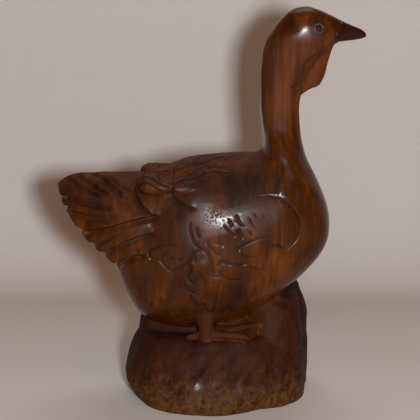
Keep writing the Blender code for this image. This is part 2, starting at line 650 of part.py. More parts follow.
def main():
    for old in list(bpy.data.objects):
        bpy.data.objects.remove(old, do_unlink=True)
    goose = build_block()
    grow_skin(goose)
    carve_skin(goose)
    saw_underside(goose)
    goose.data.shade_smooth()
    goose.data.materials.append(wax_finish())


main()
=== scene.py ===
import bpy
import bmesh
import math
import numpy as np
from mathutils import Matrix, Vector
from mathutils.bvhtree import BVHTree


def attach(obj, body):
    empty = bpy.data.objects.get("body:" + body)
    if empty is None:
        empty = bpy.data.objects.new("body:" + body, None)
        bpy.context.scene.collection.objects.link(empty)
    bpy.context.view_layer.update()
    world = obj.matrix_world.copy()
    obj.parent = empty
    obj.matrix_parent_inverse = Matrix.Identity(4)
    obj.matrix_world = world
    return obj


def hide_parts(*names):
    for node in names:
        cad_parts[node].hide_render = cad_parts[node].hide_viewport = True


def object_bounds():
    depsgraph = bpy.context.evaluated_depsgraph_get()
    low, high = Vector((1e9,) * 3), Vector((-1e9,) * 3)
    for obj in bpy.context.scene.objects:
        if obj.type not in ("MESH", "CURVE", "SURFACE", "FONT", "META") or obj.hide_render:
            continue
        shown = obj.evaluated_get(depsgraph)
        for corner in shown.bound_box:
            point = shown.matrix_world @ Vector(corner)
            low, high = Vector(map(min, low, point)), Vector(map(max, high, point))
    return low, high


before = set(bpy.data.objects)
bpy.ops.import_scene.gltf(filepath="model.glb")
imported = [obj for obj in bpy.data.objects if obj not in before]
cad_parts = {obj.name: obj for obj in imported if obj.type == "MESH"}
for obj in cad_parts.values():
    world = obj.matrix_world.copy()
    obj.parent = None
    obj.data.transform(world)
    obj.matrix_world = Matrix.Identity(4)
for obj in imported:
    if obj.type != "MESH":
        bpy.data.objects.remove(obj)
cadBox = [list(corner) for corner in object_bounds()]
nodeName = "goose_figurine"
mm = 0.001
dice = np.random.default_rng(11)

# What a user would change on the goose, in metres
goose = {
    "bodyLength": 113.5 * mm,
    "bodyHeight": 95.5 * mm,
    "bodyWidth": 67 * mm,
    "bodyRear": -49.5 * mm,
    "neckHeight": 46 * mm,
    "neckWidth": 20 * mm,
    "headLength": 54.5 * mm,
    "headHeight": 31 * mm,
    "headWidth": 21.5 * mm,
    "dewlapWidth": 9 * mm,
    "wingTipSpread": 15.5 * mm,
    "wingTipWidth": 8.5 * mm,
    "eyeRadius": 1.25 * mm,
    "eyeRing": 2.3 * mm,
    "eyeRingWidth": 1.0 * mm,
    "eyeRingHeight": 0.9 * mm,
    "eyePlace": (54.3, 62.8),
    # Painted shade: two dark rings in the hollows inside and outside the raised eye ring
    "eyePaintedShade": ((1.6, 0.45, 0.9), (3.0, 0.5, 0.8)),  # Distance and width in mm, amount
    "pitPlace": (45.5, 63),
    "pitRadius": 4.5,
}

tail = {
    "length": 45.5 * mm,
    "drop": 52 * mm,
    "width": 56 * mm,
    "thickness": 7 * mm,
    "tipThickness": 3.4 * mm,
    "notchDepth": 2.3 * mm,
}

feet = {
    "legWidth": 8.4 * mm,
    "spread": 21 * mm,
    "heelX": -2 * mm,
    "toeThickness": 4.2 * mm,
    "webThickness": 1.8 * mm,
}

rock = {
    "length": 98 * mm,
    "depth": 81 * mm,
    "height": 37 * mm,
    "front": 52.5 * mm,
    "boulderRise": 25 * mm,
    "seatRise": 6 * mm,
    "knifeFacet": 7 * mm,
    "knifeFacets": 260,
    "facetDepth": 0.4 * mm,
}

surface = {
    "voxel": 0.5 * mm,
    "softenRounds": 10,
    "seam": 1.2,  # In mm, where rock and feet meet the bird
    "sides": 64,
    "triangles": 205000,
    "sightDistance": 780 * mm,
    "sightHeight": 285 * mm,
}

bellyZ = rock["height"] + 0.5 * mm
backZ = bellyZ + goose["bodyHeight"]
headZ = backZ + goose["neckHeight"]
shoulderX = goose["bodyRear"] + 0.674 * goose["bodyLength"]
sight = Vector((0, -surface["sightDistance"], surface["sightHeight"]))


# Places on the middle plane, in percent of one part of the bird or of the rock
def placeIn(x, z, length, height):
    def place(u, v):
        return Vector((x + u / 100 * length, 0, z + v / 100 * height))
    return place


inBody = placeIn(goose["bodyRear"], bellyZ, goose["bodyLength"], goose["bodyHeight"])
inNeck = placeIn(shoulderX, backZ, goose["headLength"], goose["neckHeight"])
inHead = placeIn(shoulderX, headZ, goose["headLength"], goose["headHeight"])
inRock = placeIn(rock["front"] - rock["length"], 0, rock["length"], rock["height"])
tailRoot = inBody(12, 89.5)
inTail = placeIn(tailRoot.x, tailRoot.z, -tail["length"], -tail["drop"])


def smoothRow(points, steps):
    rows = np.array(points, dtype=float)
    padded = np.vstack([2 * rows[0] - rows[1], rows, 2 * rows[-1] - rows[-2]])
    out = []
    for i in range(1, len(padded) - 2):
        before, start, end, after = padded[i - 1:i + 3]
        for k in range(steps):
            t = k / steps
            out.append(0.5 * (2 * start + (end - before) * t
                              + (2 * before - 5 * start + 4 * end - after) * t * t
                              + (3 * start - before - 3 * end + after) * t ** 3))
    out.append(rows[-1])
    return np.array(out)


def smoothStep(t):
    t = np.clip(t, 0, 1)
    return t * t * (3 - 2 * t)


def addRing(mesh, centre, up, side, fullness=2.0):
    made = bmesh.ops.create_circle(mesh, segments=surface["sides"], radius=1.0)
    power = 2 / fullness
    for vert in made["verts"]:
        across = math.copysign(abs(vert.co.x) ** power, vert.co.x)
        along = math.copysign(abs(vert.co.y) ** power, vert.co.y)
        vert.co = centre + up * along + side * across
    return list({edge for vert in made["verts"] for edge in vert.link_edges})


def bridgeRings(mesh, rings):
    for low, high in zip(rings, rings[1:]):
        bmesh.ops.bridge_loops(mesh, edges=low + high)
    for ring in (rings[0], rings[-1]):
        bmesh.ops.contextual_create(mesh, geom=ring)


def loftProfile(mesh, stations, steps=5, fullness=2.0):
    rings = []
    for backX, backH, bellyX, bellyH, halfWidth in smoothRow(stations, steps):
        back = Vector((backX, 0, backH))
        belly = Vector((bellyX, 0, bellyH))
        rings.append(addRing(mesh, (back + belly) / 2, (back - belly) / 2, Vector((0, halfWidth, 0)), fullness))
    bridgeRings(mesh, rings)


# Each row holds the back point, the belly point and the share of the half width
def stationsOf(framePoint, width, rows):
    stations = []
    for backPoint, bellyPoint, share in rows:
        back, belly = framePoint(*backPoint), framePoint(*bellyPoint)
        stations.append((back.x, back.z, belly.x, belly.z, share * width / 2))
    return stations


# Body, neck and head are one loft
def addBody(mesh):
    body = [
        ((-9, 69), (-8, 60), 0.12), ((-5.5, 77), (-3.6, 46), 0.40), ((-0.5, 83), (0.4, 32.5), 0.62),
        ((6.5, 86.5), (4.4, 20), 0.76), ((14, 88.4), (9.4, 10), 0.86), ((22, 91.3), (15.5, 4.5), 0.915),
        ((28, 94.7), (21, 2.4), 0.955), ((34, 97.1), (27, 1.2), 0.985), ((41, 98.3), (35, 0.3), 1.0),
        ((49, 99.2), (49, 1.5), 0.995), ((55, 99.7), (61, 7), 0.96), ((59.5, 99.8), (72, 15), 0.91),
        ((63.5, 99.8), (80.5, 23.5), 0.86), ((66.5, 100.6), (89, 33), 0.805), ((68.5, 103.8), (96.5, 44), 0.745),
        ((68.7, 109.5), (99.8, 55), 0.66), ((68.3, 115.5), (99, 69), 0.56), ((67.8, 121), (94.5, 83), 0.46),
    ]
    throat = [
        ((0.0, 53), (45.5, -9), 1.20), ((-0.2, 67), (40, 12), 1.07), ((-0.4, 80), (37, 37), 1.0),
        ((-0.4, 91), (37, 60), 0.98),
    ]
    skull = [
        ((0.1, 2), (42, -27), 0.93), ((2.8, 35), (48, -8), 0.98), ((12, 66), (54.5, 10), 1.02),
        ((26, 91.5), (62, 25), 0.98), ((41, 99.5), (67.5, 34), 0.89), ((53, 95), (71.5, 39), 0.77),
        ((64.5, 86.5), (74.5, 41), 0.62), ((74.5, 77.5), (78, 41.5), 0.47), ((85.5, 68.5), (86, 43), 0.34),
        ((94.5, 62), (94.5, 45.5), 0.22), ((99.8, 55), (99.8, 48.5), 0.10),
    ]
    loftProfile(mesh, stationsOf(inBody, goose["bodyWidth"], body) + stationsOf(inNeck, goose["neckWidth"], throat)
                + stationsOf(inHead, goose["headWidth"], skull), fullness=2.15)


# The flap of skin under the jaw
def addDewlap(mesh):
    shape = [
        ((48, 42), (70, 40), 0.8), ((44, 24), (66.5, 24), 0.95), ((41, 4), (63, 2), 1.0),
        ((38, -16), (60.5, -16), 0.98), ((36, -33), (55.5, -32.5), 0.85), ((34, -46), (47, -38.5), 0.7),
        ((33, -56), (38, -49), 0.4),
    ]
    loftProfile(mesh, stationsOf(inHead, goose["dewlapWidth"], shape))


# The ends of the folded wings, two low rolls over the tail: place, height in mm, share of the width
def addWingEnds(mesh, side):
    across = side * goose["wingTipSpread"]
    width = goose["wingTipWidth"]
    rolls = [((10.6, 85.3), 0.9, 0.30), ((11.6, 85.6), 2.8, 0.70), ((14, 85.6), 4.2, 0.95), ((18, 85.3), 4.6, 1.0),
             ((29, 84.5), 4.6, 1.0), ((36, 84), 4.2, 0.9), ((44, 82), 2.8, 0.7)]
    rings = []
    for (u, v), height, share in rolls:
        centre = inBody(u, v)
        centre.y = across * (1 + 0.004 * (u - 10))
        rings.append(addRing(mesh, centre, Vector((0, 0, height * mm)), Vector((0, width * share, 0)), 2.2))
    bridgeRings(mesh, rings)


# A fan with a ridge, whose halves droop like a roof; each arc runs from the ridge to the lowest feather
def addTail(mesh):
    half = tail["width"] / 2
    shape = [
        (inBody, ((20, 89.5, 0), (20, 87, 0.36), (19, 80.5, 0.72), (16, 68, 0.97), (13, 47, 1.04))),
        (inTail, ((64, 1.2, 0), (55, 7.6, 0.37), (46, 24.4, 0.72), (35, 47, 0.94), (18, 77, 1.03))),
        (inTail, ((86, 4, 0), (78.5, 12, 0.36), (68, 28.5, 0.68), (51.5, 54, 0.88), (26, 80.3, 1.0))),
        (inTail, ((100.3, 12.5, 0), (95.8, 21.5, 0.34), (86, 36.5, 0.62), (63.2, 62.2, 0.83), (31.8, 84, 0.97))),
    ]
    notches = (0.27, 0.43, 0.66, 0.80, 0.90)
    arcs = []
    for framePoint, points in shape:
        near = smoothRow([(framePoint(u, v).x, w * half, framePoint(u, v).z) for u, v, w in points], 24)
        arcs.append(np.vstack([near[:0:-1] * np.array([1, -1, 1]), near]))
    last = len(arcs[0]) - 1
    rows = 15
    for i in range(last + 1):
        share = abs(2 * i / last - 1)
        pull = sum(math.exp(-((share - n) / 0.022) ** 2) for n in notches)
        back = arcs[1][i] - arcs[3][i]
        arcs[3][i] += back / np.linalg.norm(back) * pull * tail["notchDepth"]
    grid = bmesh.ops.create_grid(mesh, x_segments=last, y_segments=rows, size=0.5)
    topVerts = grid["verts"]
    curves = [smoothRow([arc[i] for arc in arcs], rows // 3) for i in range(last + 1)]
    for vert in topVerts:
        i = round((vert.co.x + 0.5) * last)
        k = round((vert.co.y + 0.5) * rows)
        vert.co = Vector(curves[i][k])
    topFaces = list({face for vert in topVerts for face in vert.link_faces})
    for face in topFaces:
        face.normal_update()
    if sum(face.normal.z for face in topFaces) < 0:
        bmesh.ops.reverse_faces(mesh, faces=topFaces)
    for vert in topVerts:
        vert.normal_update()
    rimPoints = [Vector(p) for p in arcs[3][::2]]
    topEdges = list({edge for face in topFaces for edge in face.edges})
    made = bmesh.ops.duplicate(mesh, geom=list(topVerts) + topEdges + topFaces)["geom"]
    lowFaces = [g for g in made if isinstance(g, bmesh.types.BMFace)]
    for vert in [g for g in made if isinstance(g, bmesh.types.BMVert)]:
        grown = min(1.0, min((vert.co - p).length for p in rimPoints) / (0.6 * tail["length"]))
        vert.co -= vert.normal * (tail["tipThickness"] + (tail["thickness"] - tail["tipThickness"]) * grown)
    bmesh.ops.reverse_faces(mesh, faces=lowFaces)
    rim = {edge for face in topFaces + lowFaces for edge in face.edges if edge.is_boundary}
    bmesh.ops.bridge_loops(mesh, edges=list(rim))


# How a block narrows with height: share of the half length, of the half depth, of the height
blockSides = [(0.79, 0.93, 0.0), (0.865, 0.985, 0.12), (0.94, 1.0, 0.21), (1.015, 0.985, 0.33), (1.03, 0.955, 0.44),
              (1.01, 0.89, 0.60), (0.97, 0.80, 0.77), (0.915, 0.70, 0.90), (0.83, 0.60, 0.975), (0.45, 0.34, 1.0)]
slabSides = [(0.93, 0.97, 0.0), (0.985, 1.0, 0.10), (1.0, 0.99, 0.28), (0.99, 0.95, 0.50), (0.955, 0.87, 0.72),
             (0.90, 0.76, 0.89), (0.78, 0.62, 0.975), (0.45, 0.36, 1.0)]
boulderSides = [(0.93, 0.97, 0.0), (0.98, 1.0, 0.10), (1.0, 0.99, 0.30), (1.0, 0.96, 0.55), (0.97, 0.88, 0.70),
                (0.85, 0.76, 0.81), (0.69, 0.62, 0.90), (0.50, 0.46, 0.965), (0.30, 0.26, 1.0)]


def addLump(mesh, sides, centre, half, heights, fullness, lean, turn):
    rings = []
    spin = Matrix.Rotation(math.radians(turn), 3, "Z")
    for longShare, deepShare, height in smoothRow(sides, 3):
        middle = Vector((*(centre + lean * height), heights[0] + (heights[1] - heights[0]) * height))
        rings.append(addRing(mesh, middle, spin @ Vector((0, half[1] * deepShare, 0)),
                             spin @ Vector((half[0] * longShare, 0, 0)), fullness))
    bridgeRings(mesh, rings)


# Block, slab, two boulders, two seats under the bird; centre, size and lean are shares of the half size
def addRock(mesh):
    half = np.array([rock["length"], rock["depth"]]) / 2
    top = rock["height"]
    under = -6 * mm
    lumps = [
        (blockSides, (-0.10, 0), (0.90, 1), (under, top), 2.15, (0.03, 0), -4),
        (slabSides, (0.41, 0.02), (0.57, 0.77), (under, top * 0.96), 2.0, (0.015, 0.05), 5),
        (slabSides, (0.64, 0.06), (0.35, 0.57), (top * 0.1, top + rock["boulderRise"] * 0.80), 2.1, (-0.05, 0.06), 0),
        (boulderSides, (0.70, 0.42), (0.335, 0.45), (under, top + rock["boulderRise"] * 1.05), 2.1, (-0.01, 0), 0),
        (slabSides, (-0.12, 0.12), (0.70, 0.5), (top * 0.5, top + rock["seatRise"]), 2.2, (0, 0), 0),
        (slabSides, (-0.585, 0.20), (0.285, 0.34), (top * 0.5, top + rock["seatRise"] * 1.7), 2.1, (0, 0), 0),
    ]
    middle = np.array([rock["front"] - half[0], 0])
    for sides, centre, size, heights, fullness, lean, turn in lumps:
        addLump(mesh, sides, middle + centre * half, size * half, heights, fullness, lean * half, turn)


def addLimb(mesh, path):
    points = [Vector(p[:3]) for p in path]
    rings = []
    for i, (x, y, z, radius, flat) in enumerate(path):
        ahead = (points[min(i + 1, len(path) - 1)] - points[max(i - 1, 0)]).normalized()
        side = ahead.cross(Vector((0, 0, 1)) if abs(ahead.z) < 0.8 else Vector((1, 0, 0))).normalized()
        rings.append(addRing(mesh, Vector((x, y, z)), side.cross(ahead) * radius * flat, side * radius))
    bridgeRings(mesh, rings)


# Leg, three toes that fan out forward with the web between them, and a hind toe
def addLeg(mesh, side):
    ground = rock["height"]
    shin = feet["legWidth"] / 2
    toe = feet["toeThickness"] / 2
    heel = Vector((feet["heelX"], side * feet["spread"], ground))
    leg = ((0, 1, -2, 0.95), (0, 1, 1, 1.0), (-0.3, 1, 5, 0.95), (-0.5, 0.97, 10, 1.15), (-1, 0.86, 18, 1.9))
    addLimb(mesh, [(heel.x + ahead * mm, heel.y * share, ground + height * mm, shin * thick, 1)
                   for ahead, share, height, thick in leg])
    tips = [heel + Vector((20.5 * mm, side * 3.2 * mm, 0.6 * mm)),
            heel + Vector((29 * mm, side * -8 * mm, 3.6 * mm)),
            heel + Vector((23.5 * mm, side * -16 * mm, 7.5 * mm))]
    for tip in tips:
        bend = heel.lerp(tip, 0.5)
        addLimb(mesh, [(heel.x - 2.6 * mm, heel.y, ground + toe * 0.5, toe, 1),
                       (heel.x + 1.5 * mm, heel.y, ground + toe * 0.9, toe * 1.35, 1),
                       (bend.x, bend.y, bend.z + toe * 0.7, toe * 1.0, 0.95),
                       (tip.x, tip.y, tip.z + toe * 0.45, toe, 0.9),
                       (tip.x + toe * 0.9, tip.y, tip.z - toe * 0.1, toe * 0.72, 0.8)])
    for first, second in zip(tips, tips[1:]):
        web = []
        notch = first.lerp(second, 0.5).lerp(heel, 0.1)
        for point in (heel, first, notch, second):
            for height in (-5 * mm, feet["webThickness"]):
                web.append(mesh.verts.new((point.x, point.y, point.z + height)))
        bmesh.ops.convex_hull(mesh, input=web)
    addLimb(mesh, [(heel.x, heel.y, ground + toe * 0.8, toe, 1),
                   (heel.x - 6 * mm, heel.y - side * 0.5 * mm, ground + toe * 0.6, toe * 0.85, 0.9),
                   (heel.x - 10.5 * mm, heel.y - side * 0.5 * mm, ground + toe * 0.1, toe * 0.5, 0.8)])


# The carver's tools, in mm: depth, width of the steep side (wall) and of the other side (run), how far the
# raised side stands up (lift) and how soon that fades, the dark of the cut as stain and painted shade
# (stainAndShade), its depth from the first point to the last (swell)
tools = {
    "hair": {"depth": 0.3, "wall": 0.5, "run": 0.5, "stainAndShade": 0.5},
    "soft": {"depth": 0.2, "wall": 1.4, "run": 1.4, "stainAndShade": 0.25},
    "fine": {"depth": 0.5, "wall": 0.5, "run": 0.8, "stainAndShade": 0.65},
    "cut": {"depth": 0.6, "wall": 0.6, "run": 1.2, "lift": 0.08, "fade": 3.5, "stainAndShade": 0.9},
    "nick": {"depth": 0.62, "wall": 0.62, "run": 0.62, "stainAndShade": 1.0,
             "swell": (0.3, 1.0, 0.9, 0.3)},
    "blob": {"depth": 0.7, "wall": 0.85, "run": 0.85, "stainAndShade": 1.0,
             "swell": (0.35, 1.0, 1.0, 0.5)},
    "step": {"depth": 0.8, "wall": 0.75, "run": 2.6, "lift": 0.5, "fade": 8.0, "stainAndShade": 0.8},
    "deep": {"depth": 1.4, "wall": 1.0, "run": 3.0, "lift": 0.8, "fade": 10.0, "stainAndShade": 1.0},
    "gouge": {"depth": 0.75, "wall": 0.7, "run": 1.3, "fade": 6.0, "stainAndShade": 0.8,
              "swell": (0.25, 0.5, 0.8, 1.0, 1.0, 0.8, 0.5)},
    "valley": {"depth": 2.2, "wall": 2.6, "run": 2.6, "stainAndShade": 1.0,
               "taper": 1.2, "swell": (0.6, 1.0, 0.95, 0.75, 0.3)},
    "furrow": {"depth": 0.7, "wall": 3.2, "run": 3.2, "stainAndShade": 0.25,
               "swell": (0.6, 1.0, 1.0, 0.5)},
    "facet": {"depth": 1.3, "wall": 3.4, "run": 4.6, "stainAndShade": 0.5,
              "swell": (0.3, 0.7, 1.0, 1.0, 0.8)},
}

# The drawing on the middle plane as seen from the sight point: tool, raised side if any, points in percent
tailLines = [
    ("deep", "above", [(77.5, 65.6), (68, 64.3), (52.7, 62.4), (37.6, 59.9), (24.4, 56.5), (10.2, 52.9),
        (-3.9, 49.7), (-13.4, 47.8), (-21.6, 48)]),
    ("step", "below", [(45.7, 1.9), (42.8, 4), (35.3, 9.8), (28.4, 15), (21.4, 18.7), (15.6, 20.7), (10.9, 20.2)]),
    ("valley", [(62, -0.2), (57.4, 2.5), (48.2, 8.2), (40.1, 14.5), (31.3, 21.3), (23.9, 28.6)]),
    ("valley", [(79.5, 1.4), (76.1, 5.2), (68.5, 10.2), (59.3, 16), (50, 21.9), (40.3, 26.5)]),
    ("valley", [(91.3, 6.6), (86.7, 9.8), (77.5, 15), (68.2, 19), (59.4, 23.4), (49.7, 29.1)]),
    ("furrow", [(98.6, 16), (91.6, 18.7), (82.3, 21.3), (73, 21.8), (61.3, 23.4)]),
    ("valley", [(96.5, 27), (93, 27.6), (83.7, 29.9), (73.2, 32.8), (61.6, 35.6), (48.7, 38.7), (37, 40.7)]),
    ("valley", [(91.6, 41.8), (88, 43.2), (78.7, 46.3), (66.5, 48.6), (56, 50.1), (49, 52.5), (42, 55)]),
    ("cut", "above", [(62.5, 81), (56.8, 79), (43.5, 73.5), (34, 68.6), (26.3, 65.2)]),
    ("step", "above", [(49.7, 88.5), (43.7, 86.3), (35.4, 82), (26.6, 77.7), (15.2, 73.5), (3.8, 69.6),
        (-3.7, 67.5), (-14.4, 65.2)]),
    ("deep", "above", [(34.5, 99.8), (29.7, 98.3), (25, 95.9), (17.8, 93.1), (9.5, 90.8), (1.2, 90.1), (-4.7, 91.4)]),
    ("cut", [(3.7, 80), (7.1, 84.8), (11.3, 89.6)]),
]
wingLines = [
    ("deep", "ahead", [(10.4, 86.2), (9.2, 84.2), (8.3, 81.4), (8.1, 78.5), (8.7, 75.1), (10.1, 71.7),
        (12.1, 68.2), (14.7, 65.3), (17.2, 63.2)]),
    ("cut", "below", [(9.6, 77.9), (10.1, 79.9), (11.3, 81.5), (13.2, 82.3), (15.5, 81.6), (17.8, 79.7),
        (20.2, 77.6), (22.5, 76.8), (25.1, 76.7)]),
    ("cut", "below", [(9.7, 83.9), (11.3, 85), (13.7, 85.5), (16, 84.8), (18.3, 83.1), (20.7, 81.6),
        (23, 80.7), (25.6, 79.7)]),
    ("cut", "above", [(10.9, 89.7), (13.7, 89.3), (17, 89.2), (20.2, 89.1), (24.9, 89.8)]),
    ("fine", [(19.1, 87.6), (19.3, 85.4), (20.2, 83.6)]),
    ("fine", [(20.2, 85.4), (22.6, 85.9), (24.9, 87.3)]),
    ("fine", [(21.1, 83.4), (23.5, 84.5), (25.6, 85.9)]),
    ("fine", "ahead", [(26.6, 91.6), (26.3, 89.3), (26.4, 86.5), (26.2, 83.6), (25.8, 80.8)]),
    ("fine", "above", [(26.8, 86), (30.5, 88.2), (34.3, 90)]),
    ("fine", "above", [(27, 84.2), (30, 85.9), (34.3, 87.5), (38, 88.5)]),
    ("cut", "above", [(27, 81.9), (29.6, 83.6), (33.3, 84.9), (36.6, 85.4), (38.9, 86.5), (41.7, 88.8),
        (45, 89.6), (49.7, 89.4), (54.8, 89)]),
    ("cut", "above", [(35.4, 92.1), (38.9, 93.6), (42.7, 95.3), (47.3, 97), (52, 97.8), (56.2, 98.7)]),
    ("fine", [(35.4, 92.3), (35.9, 93.9), (37.3, 95.6), (39.4, 97.4), (42.2, 98.6), (45.9, 99.2)]),
    ("fine", "above", [(35.7, 89.9), (39.9, 91.6), (44.5, 93.5), (49.2, 95.6), (53.9, 97)]),
    ("cut", [(42.2, 91.5), (45.5, 92.1), (48.8, 91.8), (52.5, 92.1)]),
    ("cut", "above", [(26.8, 90.7), (29.6, 90.8), (32.4, 92.6), (35.2, 94.7)]),
    ("furrow", [(46.4, 88.8), (49.7, 87.3), (52.5, 84.7), (54.9, 81.4)]),
    ("furrow", [(37.1, 84.5), (40.8, 83.6), (44.1, 81.7), (46.9, 78.9), (49.2, 76.2)]),
    ("step", "ahead", [(26.7, 81.7), (25.9, 79.1), (25.9, 76.2), (27.2, 73.4), (29.2, 71.3), (31.7, 69.7),
        (34.2, 68.7), (37, 67.9)]),
    ("gouge", "behind", [(65.2, 74.2), (70.8, 75.1), (74.6, 74.5), (77.9, 72.8), (81.2, 69.7), (83.8, 66.1),
        (85.3, 62.5), (86.1, 58.4), (86, 55), (85.2, 51.7), (83.6, 48.6), (81.3, 45.7), (78.4, 42)]),
    ("fine", [(34, 60.2), (34.2, 55.5), (35.1, 50.9), (36.5, 47.3), (38.4, 44.8), (40.3, 43.4)]),
    ("fine", [(36.9, 57.9), (37.8, 53.8), (38.4, 50.3)]),
    ("fine", "above", [(42.2, 49.2), (44.1, 45.1), (46.5, 42.2), (48.8, 39.6)]),
    ("fine", "below", [(45.7, 48), (47.9, 47.1), (50.7, 46)]),
    ("cut", "below", [(57.3, 42.5), (57.8, 44.2), (59.4, 46.3), (62, 48.1), (64.9, 49.5), (67.7, 50.5),
        (69.6, 50.8), (71, 49.5)]),
    ("fine", "above", [(58.3, 42.1), (60.7, 40.3), (63.5, 39.8), (66.2, 40.3), (68.2, 41.6)]),
    ("cut", [(72.3, 48), (73.9, 46.4), (75.7, 46.6), (78.9, 44.5)]),
    ("cut", "below", [(46.8, 32.9), (47.6, 35.2), (49.3, 36.5), (52.1, 35.7), (55.9, 35.1), (58.8, 34.9),
        (61.6, 36.4)]),
    ("fine", "above", [(46.8, 32.9), (47.7, 30.5), (49.6, 28.5), (52.5, 27), (56.5, 26.4), (60.3, 26.4)]),
    ("fine", "above", [(61.9, 35.6), (63.7, 33.8), (66.9, 32.8), (70.7, 32.6)]),
    ("blob", [(44.6, 33.5), (45.3, 31.1), (45.2, 28.8)]),
    ("fine", [(43.4, 28.2), (46.5, 28.4), (49.3, 28)]),
    ("blob", [(51.9, 62.7), (53.3, 60.2), (54.5, 56.4)]),
    ("nick", [(56.5, 65.6), (57.1, 61.9), (57.9, 59.4), (60.8, 56.9)]),
    ("nick", [(60.9, 64.8), (62.5, 61.3), (63.7, 58.4), (65.3, 56.1), (66.6, 52.7)]),
    ("nick", [(63.5, 67.3), (64.8, 64.2), (66.2, 61.5), (67.9, 58.7)]),
    ("blob", [(67.6, 65.6), (69.1, 63), (70.2, 60.2)]),
    ("nick", [(72.1, 62.7), (72.8, 60.7), (73.8, 58.2)]),
    ("nick", [(77, 58.1), (78.1, 55.9), (78.9, 53.2)]),
    ("nick", [(49.6, 59.2), (51.6, 56.1), (54, 53.2), (56.4, 50.9)]),
    ("fine", [(57.3, 56.7), (57.9, 53.2), (59.5, 50.1)]),
    ("nick", [(61.3, 55.5), (62.8, 53.6), (63.5, 50.7)]),
    ("fine", [(69.5, 57.9), (70.2, 53.8)]),
    ("fine", [(73.6, 54.4), (74.5, 50.6)]),
    ("fine", [(76, 55.5), (76.9, 51.7)]),
]
plumeLines = [
    ("fine", [(21.6, 37), (20, 39.3), (21.6, 41.2), (23.7, 43.5)]),
    ("nick", [(23.4, 36.6), (25.1, 38.7), (27, 41)]),
    ("nick", [(27.8, 36.1), (29.1, 38.1), (30.6, 40.2)]),
    ("cut", "below", [(14, 39.9), (14.7, 42.3), (16.4, 44.5), (19, 46.2), (22.8, 46.6), (28, 46.3)]),
    ("fine", [(14, 39.9), (15.9, 38.7), (18.3, 38.4), (20.2, 37.3), (21.3, 35.3), (23.2, 32.9),
        (25.3, 31.8), (27.7, 32.6), (30.8, 34.6), (33.5, 37.5), (35.4, 41.6)]),
    ("fine", [(33.4, 36.4), (34.3, 39.9), (36.2, 42.4), (38.4, 43.4), (40.5, 43.7), (42.5, 42),
        (44.1, 38.9), (44.8, 35.2), (45, 31.4)]),
    ("step", "ahead", [(33.4, 36.7), (34, 34.4), (34.4, 32.3), (33.4, 29.6), (33.3, 27.4), (34.5, 25.5),
        (37.1, 23.3)]),
    ("fine", [(36.5, 41.9), (36.1, 38.7), (36.5, 35.8)]),
    ("cut", "ahead", [(34.1, 25.5), (32, 25.5), (31.6, 23.5), (32.7, 20.9), (34.6, 19), (37.7, 17.6)]),
    ("cut", "ahead", [(34.3, 18.4), (34.6, 15.8), (35.7, 13.5), (37.6, 11.7), (40.1, 11.6), (40.7, 13.1)]),
    ("cut", "above", [(40.7, 13), (41.4, 9.9), (42.9, 7.6), (44.9, 6.4)]),
    ("fine", "above", [(36, 32.9), (38.4, 30.6), (40.2, 27.3), (41.7, 22.7)]),
    ("fine", [(46.6, 18.8), (46.4, 14.7), (45.7, 10.5), (45.1, 7)]),
    ("fine", [(15.4, 18.2), (15.7, 13.5), (16.1, 8.1)]),
    ("furrow", [(71.2, 30.2), (67.4, 28.5), (63.6, 25.5), (58.8, 22), (54.6, 18.4), (52.5, 15.2)]),
    ("furrow", [(77.9, 101.2), (78.5, 92.2), (79.7, 84.2), (80.4, 77.4)]),
    ("furrow", [(82.7, 81.9), (83.5, 75.1), (84.5, 70.5)]),
]
headLines = [
    ("fine", "behind", [(75.9, 75.7), (74.5, 68.4), (72.4, 61), (71, 54.3), (70.7, 49.3), (72.2, 45.6),
        (73.1, 39.2)]),
    ("hair", "above", [(72, 45.2), (79.3, 45.6), (88.8, 46.3), (100.3, 48.6)]),
    ("step", "above", [(71.2, 32.1), (65.2, 26.4), (58, 21.7), (51.9, 18.3), (47.7, 13.9), (43.9, 8.2), (41.1, 4.5)]),
    ("cut", "behind", [(41.4, 5.1), (41.1, -2.3), (40.2, -12.5), (39, -22.7), (38.9, -32.9), (39, -43.1),
        (38.1, -54.4)]),
    ("fine", "above", [(27, -33.9), (31.2, -35.9), (36, -32.9), (39.2, -29.5)]),
    ("fine", "ahead", [(30.8, -57.8), (32.9, -50.6), (36.1, -44.1), (38.9, -38)]),
    ("soft", [(50.8, 46.6), (51.7, 37.2), (51.4, 28.1)]),
    ("soft", [(41.7, 43.2), (42.9, 33.1), (42.3, 23)]),
    ("soft", [(35.8, 46.6), (36.4, 36.5), (35.9, 24.7)]),
    ("soft", [(48.2, 2.8), (44.4, -6.7), (42, -17.6)]),
]
rockLines = [
    ("facet", [(66.5, 70.1), (60.9, 56.8), (54.2, 41.3), (48.1, 25.1), (43.1, 7.9)]),
    ("facet", [(67.4, 62.4), (63.5, 45.3), (57.6, 26.6), (52.6, 11.6), (48.1, -1.5)]),
    ("facet", [(72, 60.8), (69.3, 45.3), (64.9, 30.4), (59.9, 16.3), (55.7, 2.6)]),
    ("facet", [(49.8, 51.5), (44.2, 43.1), (39.2, 32.2), (36.7, 19.4), (38, 4.7)]),
    ("facet", [(31.9, 29.7), (26.3, 21.9), (21, 11.9), (16, 1)]),
    ("facet", [(10.8, 51.5), (9.6, 37.5), (9.9, 23.5), (10.8, 11)]),
    ("facet", [(76.2, 46.9), (74.7, 32.9), (71, 20.4), (67.1, 9.4), (63.6, -1.5)]),
    ("facet", [(81.6, 43.8), (81.1, 29.7), (77.7, 17.3), (73.3, 6.3)]),
    ("facet", [(27.4, 6.3), (25.4, -3.1), (24, -14.1)]),
    ("furrow", [(87.5, 88.6), (92, 71.6), (95.8, 58.7), (98, 43.8)]),
    ("furrow", [(76.8, 145.3), (85.1, 137.7), (92.9, 125.4), (97.4, 110.1)]),
]

